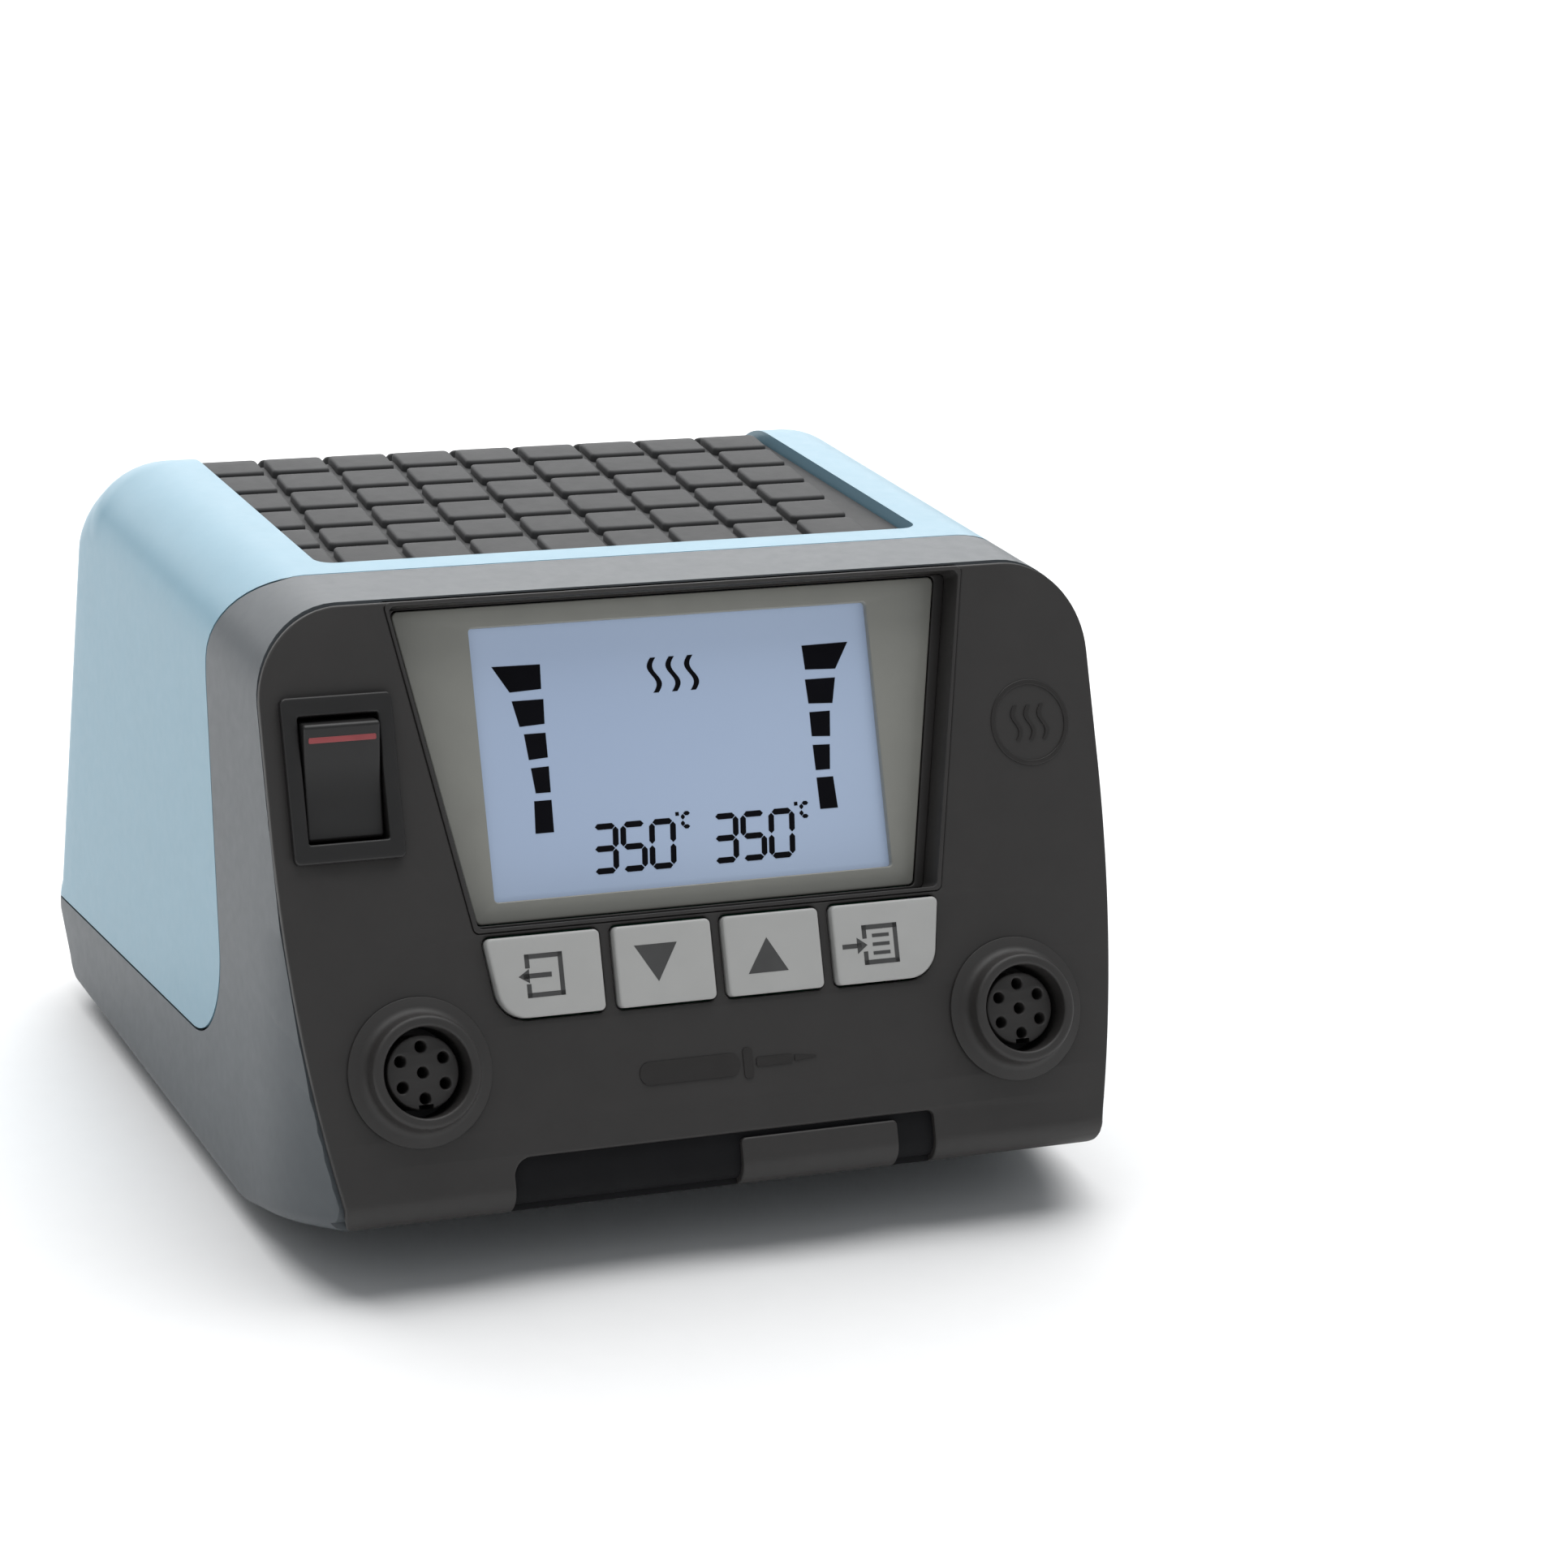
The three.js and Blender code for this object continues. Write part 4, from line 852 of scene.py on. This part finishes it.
def display():
    """The recess's collar, the grey surround, the lit glass and what the display shows."""
    back = -RECESS_DEPTH - BEZEL_THICKNESS
    shrink, step, clearance = 0.05, 0.1, 0.2
    collar = plate(
        "recess_collar", trapezoid(RECESS, RECESS_WALL - shrink), [trapezoid(RECESS)],
        (back, step), FACE, MATERIALS["panel"], bevel=0.15,
    )
    place_on(collar, STATION, slot="panel")
    ledge = plate(
        "recess_ledge", trapezoid(RECESS, -shrink), [trapezoid(BEZEL, clearance)],
        (back + step, -RECESS_DEPTH), FACE, MATERIALS["panel"], bevel=0.15,
    )
    place_on(ledge, STATION, slot="panel")
    window = rectangle((-LCD["half"], LCD["half"]), (LCD["bottom"], LCD["top"]), 0.6)
    surround = plate(
        "display_surround", trapezoid(BEZEL), [window], (back, -RECESS_DEPTH - step), FACE,
        MATERIALS["bezel"], bevel=0.25,
    )
    place_on(surround, STATION, "display_bezel", slot="bezel")
    outline = rectangle(
        (-LCD["half"] - LCD_OVERLAP, LCD["half"] + LCD_OVERLAP),
        (LCD["bottom"] - LCD_OVERLAP, LCD["top"] + LCD_OVERLAP), 0.8,
    )
    front = back - GAP
    glass = plate(
        "display_panel", outline, [], (front - LCD_THICKNESS, front), FACE, MATERIALS["lcd"],
        bevel=0.1,
    )
    place_on(glass, STATION, "lcd_glass", slot="lcd")
    ink_thickness = 0.06
    marks = raised(display_marks(), (front, front + ink_thickness))
    place_on(merge("display_marks", marks, MATERIALS["ink"]), STATION, slot="lcd")


def raised(shapes, levels):
    """Flat shapes on the face as thin solids between two levels."""
    return [plate("mark", np.array(shape, float), [], levels, FACE, bevel=0) for shape in shapes]


# The left power scale's bars, top first, and the strokes of a seven-segment character.
SCALE_BARS = [
    [(-30.4, 98.7), (-22.3, 98.6), (-22.5, 94.7), (-27.8, 94.5)],
    [(-27.6, 93.1), (-22.3, 93.1), (-22.5, 89.2), (-26.7, 89.0)],
    [(-26.1, 87.8), (-22.5, 87.8), (-22.5, 83.9), (-25.7, 83.7)],
    [(-25.5, 82.4), (-22.5, 82.5), (-22.6, 78.4), (-25.1, 78.4)],
    [(-25.5, 77.2), (-22.6, 77.2), (-22.7, 72.1), (-25.8, 72.1)],
]
SEGMENTS = {
    "a": ((0, 1), (1, 1)), "b": ((1, 1), (1, 0.5)), "c": ((1, 0.5), (1, 0)), "d": ((0, 0), (1, 0)),
    "e": ((0, 0), (0, 0.5)), "f": ((0, 0.5), (0, 1)), "g": ((0, 0.5), (1, 0.5)),
}
LIT = {"3": "abcdg", "5": "acdfg", "0": "abcdef", "c": "adef"}


def digit(character, x, y, width, height, stroke):
    """The lit bars of one seven-segment character, as thin six-sided shapes."""
    slant, clearance = 0.08, 0.12
    bars = []
    for bar in LIT[character]:
        first, last = (
            np.array([x + u * width + slant * v * height, y + v * height])
            for u, v in SEGMENTS[bar]
        )
        along = last - first
        along /= np.linalg.norm(along)
        side = np.array([-along[1], along[0]]) * stroke / 2
        start, end = first + along * stroke * clearance, last - along * stroke * clearance
        nip = along * stroke / 2
        one_side = [start + nip + side, end - nip + side]
        other_side = [end - nip - side, start + nip - side]
        bars.append([start, *one_side, end, *other_side])
    return bars


def display_marks():
    """Two mirrored power scales, two temperatures low between them and a heat sign at the top."""
    mirror = 0.4
    digit_pitch, digit_foot = 4.9, 65.3
    dot, dot_foot = [(0, 0), (0.6, 0), (0.6, 0.6), (0, 0.6)], 73.0
    wave_pitch, wave_foot, wave_height = 3.2, 92.8, 5.6
    shapes = list(SCALE_BARS)
    shapes += [[(mirror - x, s) for x, s in bar][::-1] for bar in SCALE_BARS]
    for left in (-16.8, 3.8):
        for k, character in enumerate("350"):
            x = left + 0.3 + k * digit_pitch
            shapes += digit(character, x, digit_foot, width=3.6, height=7.0, stroke=0.95)
        shapes += digit("c", left + 15.9, 71.2, width=1.3, height=2.1, stroke=0.65)
        shapes.append([(left + 14.8 + dx, dot_foot + dy) for dx, dy in dot])
    for k in (-1, 0, 1):
        shapes.append(heat_wave(wave_pitch * k, wave_foot, wave_height))
    return shapes


def heat_wave(x, low, height, amplitude=0.7, stroke=0.9):
    """One upright wavy line, the usual sign for heat."""
    steps = np.linspace(0, 1, 17)
    spine = [(x + amplitude * math.sin(2 * math.pi * t), low + height * t) for t in steps]
    left = [(px - stroke / 2, py) for px, py in spine]
    right = [(px + stroke / 2, py) for px, py in spine]
    return left[::-1] + right


# ---- Keys -----------------------------------------------------------------------------------
def strokes(points, width):
    """A line through the points as overlapping bars."""
    bars = []
    for a, b in zip(points, points[1:]):
        a, b = np.array(a, float), np.array(b, float)
        along = (b - a) / np.linalg.norm(b - a) * width / 2
        side = np.array([-along[1], along[0]])
        a, b = a - along, b + along
        bars.append([a + side, a - side, b - side, b + side])
    return bars


def key_icon(name):
    """A key's sign: an arrow out of a door, a plain arrow down or up, or an arrow onto a page."""
    if name == "down":
        return [[(-14.3, 53.1), (-10.7, 47.2), (-7.1, 53.1)]]
    if name == "up":
        return [[(4.5, 46.9), (11.4, 46.9), (8.1, 52.4)]]
    line, thin_line = 0.75, 0.5625
    if name == "exit":
        left, right, low, high = -32.2, -26.7, 47.0, 53.0
        door = [(left, 51.6), (left, high), (right, high), (right, low), (left, low), (left, 48.4)]
        shaft = [(-32.6, 50.0), (-28.7, 50.0)]
        tip = [(-33.8, 50.0), (-32.0, 48.9), (-32.0, 51.1)]
        return [*strokes(door, line), *strokes(shaft, line), tip]
    left, right, low, high = 25.0, 30.4, 46.8, 52.4
    page = [(left, 51.0), (left, high), (right, high), (right, low), (left, low), (left, 48.2)]
    shapes = strokes(page, line)
    for s in (51.0, 49.6, 48.2):
        shapes += strokes([(26.6, s), (29.0, s)], thin_line)
    shaft = [(21.4, 49.6), (24.0, 49.6)]
    tip = [(25.4, 49.6), (23.6, 50.9), (23.6, 48.3)]
    return [*shapes, *strokes(shaft, line), tip]


def keys():
    """The four keys, each with its sign printed on it."""
    for name in KEYS:
        cap = plate(
            f"keycap_{name}", key_outline(name), [], (-KEY_DEPTH, KEY_PROUD), FACE,
            MATERIALS["key"], bevel=0.45, back_bevel=0.1, steps=4,
        )
        place_on(cap, f"{name}_button", f"key_{name}", slot="key")
        into_cap, above_cap = 0.02, 0.03
        shapes = raised(key_icon(name), (KEY_PROUD - into_cap, KEY_PROUD + above_cap))
        sign = merge(f"key_sign_{name}", shapes, MATERIALS["print"])
        place_on(sign, f"{name}_button", slot="key")


# ---- Rocker ---------------------------------------------------------------------------------
PIVOT = FACE @ translation(ROCKER_X, ROCKER_S, ROCKER_PIVOT) @ turn(ROCKER_THROW, "X")


def rocker():
    """The mains rocker: its rim and well in the panel, and the paddle with its red line."""
    black = MATERIALS["black"]
    outline = rectangle(
        (ROCKER_X - ROCKER_RIM_HALF, ROCKER_X + ROCKER_RIM_HALF),
        (ROCKER_S - ROCKER_RIM_LENGTH, ROCKER_S + ROCKER_RIM_LENGTH), 1,
    )
    well = rectangle(
        (ROCKER_X - ROCKER_HALF - GAP, ROCKER_X + ROCKER_HALF + GAP),
        (ROCKER_S - ROCKER_LENGTH - GAP, ROCKER_S + ROCKER_LENGTH + GAP), 0.4,
    )
    rim = plate(
        "rocker_rim", outline, [well], (0.05, GAP + ROCKER_RIM_PROUD), FACE, black, bevel=0.35,
    )
    place_on(rim, STATION, "rocker_frame", slot="black")
    wall_outline = offset(well, -ROCKER_WELL_WALL)
    wall = plate(
        "rocker_well", wall_outline, [well], (-ROCKER_WELL_DEPTH, 0.1), FACE, black, bevel=0,
    )
    place_on(wall, STATION, slot="black")
    end = ROCKER_LENGTH - 0.1
    # The paddle's side view: (along it, height over the axle, corner radius).
    section = rounded([
        (-end, -2, 1), (0, -5, 2), (end, -2, 1),
        (end - 0.3, 2.9, 0.7), (0, 2.1, 30), (-end + 0.3, 2.9, 0.7),
    ])
    paddle = plate(
        "rocker_paddle", section, [], (-ROCKER_HALF, ROCKER_HALF), PIVOT @ ALONG_X, black,
        bevel=0.4, back_bevel=0.4,
    )
    place_on(paddle, "rocker", "power_rocker", slot="black")
    line_half, line_low, line_high, line_levels = 5.4, 6.15, 7.05, (2.2, 2.82)
    bar = rectangle((-line_half, line_half), (line_low, line_high), 0.25)
    line = plate("rocker_line", bar, [], line_levels, PIVOT, MATERIALS["red"], bevel=0.1)
    place_on(line, "rocker", "rocker_marker", slot="key")


# ---- Tool sockets ---------------------------------------------------------------------------
def socket(side, x):
    """A tool socket: a round collar, and in it a boss with its contact holes and a key slot."""
    centre = (x, SOCKET_S)
    foot, sleeve, flange, rim_top = -12, 8.0, 11.6, 4.2
    section = rounded([
        (SOCKET_BORE, foot, 0), (sleeve, foot, 0), (sleeve, 0.1, 0), (flange, 0.1, 0),
        (flange, 0.4, 0.1), (9.0, 0.9, 1.6), (8.7, rim_top, 0.7), (SOCKET_BORE, rim_top, 0.5),
    ], 15)
    collar = turned(f"socket_ring_{side}", section, centre, FACE, MATERIALS["panel"])
    place_on(collar, STATION, f"socket_collar_{side}", slot="black")
    contacts = [np.array(centre)]
    for k in range(CONTACTS_ROUND):
        contacts.append(contacts[0] + CONTACT_CIRCLE * unit(360 / CONTACTS_ROUND * k + 30))
    holes = [circle(contact, CONTACT_RADIUS, 20) for contact in contacts]
    boss = plate(
        f"socket_boss_{side}", circle(centre, SOCKET_BOSS, 72), holes,
        (-SOCKET_DEPTH, SOCKET_BOSS_PROUD), FACE, MATERIALS["panel"], bevel=0.3,
    )
    slot_half, slot_end = 1.2, 4.9
    slot_s = (SOCKET_S - 8, SOCKET_S - slot_end)
    cut(boss, block((x - slot_half, x + slot_half), slot_s, (-6, 3), FACE))
    dress(boss, f"socket_boss_{side}", "panel")
    place_on(boss, STATION, f"socket_insert_{side}", slot="panel")
    floor = plate(
        f"socket_floor_{side}", circle(centre, SOCKET_BORE, 48), [], (-5, -SOCKET_DEPTH), FACE,
        MATERIALS["black"], bevel=0,
    )
    place_on(floor, STATION, slot="panel")


# ---- Reliefs and the notch ------------------------------------------------------------------
def reliefs():
    """Low relief on the panel: a round heat sign on the right and a tool outline in the middle."""
    centre, outer, inner = (58.7, 83.0), 7.0, 6.2
    ring = plate(
        "heat_ring", circle(centre, outer, 72), [circle(centre, inner, 72)], RELIEF, FACE,
        bevel=0.08,
    )
    height = 5.6
    low = centre[1] - height / 2
    outlines = [
        heat_wave(centre[0] + dx, low, height, amplitude=0.6, stroke=0.7) for dx in (-2.4, 0, 2.4)
    ]
    waves = raised(outlines, RELIEF)
    place_on(merge("heat_sign", [ring, *waves], MATERIALS["relief"]), STATION, slot="panel")
    handle = rectangle((-15, 2), (31.2, 34.8), 1.7)
    guard = rectangle((2.6, 4.2), (30.6, 35.4), 0.6)
    shaft = rectangle((4.8, 11), (32.3, 33.7), 0.3)
    tip = [(11.4, 32.5), (15.2, 33.0), (11.4, 33.5)]
    shapes = raised([handle, guard, shaft, tip], RELIEF)
    place_on(merge("tool_sign", shapes, MATERIALS["relief"]), STATION, slot="panel")


def nose_fittings():
    """The notch in the panel's lower edge: its floor and a sill, both coloured near-black as painted
    shade, and the tongue that part fills it.
    """
    behind = -PANEL_SKIN - NOTCH_BACKING
    beside, above = 3, 2
    # Painted shade: the floor is coloured darker than the panel, for the shade in the notch.
    floor_x = (NOTCH_LEFT - beside, NOTCH_RIGHT + beside)
    floor = plate(
        "notch_floor", rectangle(floor_x, (LIP_END + 0.1, NOTCH_TOP + above), 0.5), [],
        (behind, -NOTCH_DEPTH), FACE, MATERIALS["notch"], bevel=0.1,
    )
    tongue = plate(
        "notch_tongue", rectangle(TONGUE, (LIP_END, TONGUE_TOP), 0.8), [], (-PANEL_SKIN, 0), FACE,
        MATERIALS["panel"], bevel=PANEL_RIM,
    )
    # Painted shade: a near-black strip along the notch's lower edge, where there is only shade.
    shade_sill = plate(
        "notch_painted_shade_sill", rectangle((NOTCH_LEFT, NOTCH_RIGHT), (LIP_END - GAP, LIP_END + 0.6), 0.1),
        [], (behind, -0.02), FACE, MATERIALS["notch"], bevel=0.1,
    )
    for piece in (floor, shade_sill, tongue):
        bend_at_nose(piece)
        place_on(piece, STATION, slot="panel")


# ---- What stays as the CAD made it ----------------------------------------------------------
def finish_cad_nodes():
    """Every CAD node takes its slot's material and soft rims."""
    rim, sharp = 0.2, 40
    slots = {row["node"]: row["material_slot"] for row in frame["record"]["subparts"]}
    for node, obj in frame["nodes"].items():
        obj.data.materials.clear()
        obj.data.materials.append(MATERIALS[slots[node]])
        modifier = obj.modifiers.new("rim", "BEVEL")
        modifier.width = rim * MM
        modifier.segments = 2
        modifier.limit_method = "ANGLE"
        modifier.angle_limit = rad(sharp)


# ---- Studio, in metres ----------------------------------------------------------------------
def studio_floor():
    bpy.ops.mesh.primitive_plane_add(size=12)
    floor = bpy.context.object
    floor.name = "studio_floor"
    floor.data.materials.append(moulded("floor_white", (0.86, 0.86, 0.86), 0.8, 0.005, 2.0, 0.002))


def studio_world():
    """Even light from all round, very slightly blue."""
    world = bpy.data.worlds.new("studio")
    world.use_nodes = True
    background = world.node_tree.nodes["Background"]
    background.inputs["Color"].default_value = (0.94, 0.97, 1, 1)
    background.inputs["Strength"].default_value = 0.36
    bpy.context.scene.world = world


def add_light(name, kind, energy, towards):
    """A light whose beam runs against the given direction."""
    data = bpy.data.lights.new(name, kind)
    data.energy = energy
    light = bpy.data.objects.new(name, data)
    light.rotation_euler = towards.to_track_quat("Z", "Y").to_euler()
    bpy.context.scene.collection.objects.link(light)
    return light


def studio():
    """A pale floor, even soft light, a broad soft sun overhead and a softbox behind the object."""
    studio_floor()
    studio_world()
    sun = add_light("soft_sun", "SUN", 3.6, Vector((0.12, 0.35, 0.9)))
    sun.data.angle = rad(75)
    place, aim = Vector((0.1, 1.2, 0.45)), Vector((0, 0, 0.05))
    softbox = add_light("back_softbox", "AREA", 6.5, place - aim)
    softbox.location = place
    softbox.data.shape = "RECTANGLE"
    softbox.data.size = 1.6
    softbox.data.size_y = 0.6
    bpy.context.scene.view_settings.view_transform = "Standard"


camera()
housing()
cover()
mat()
panel()
display()
keys()
rocker()
for socket_side, socket_x in SOCKETS.items():
    socket(socket_side, socket_x)
reliefs()
nose_fittings()
finish_cad_nodes()
studio()
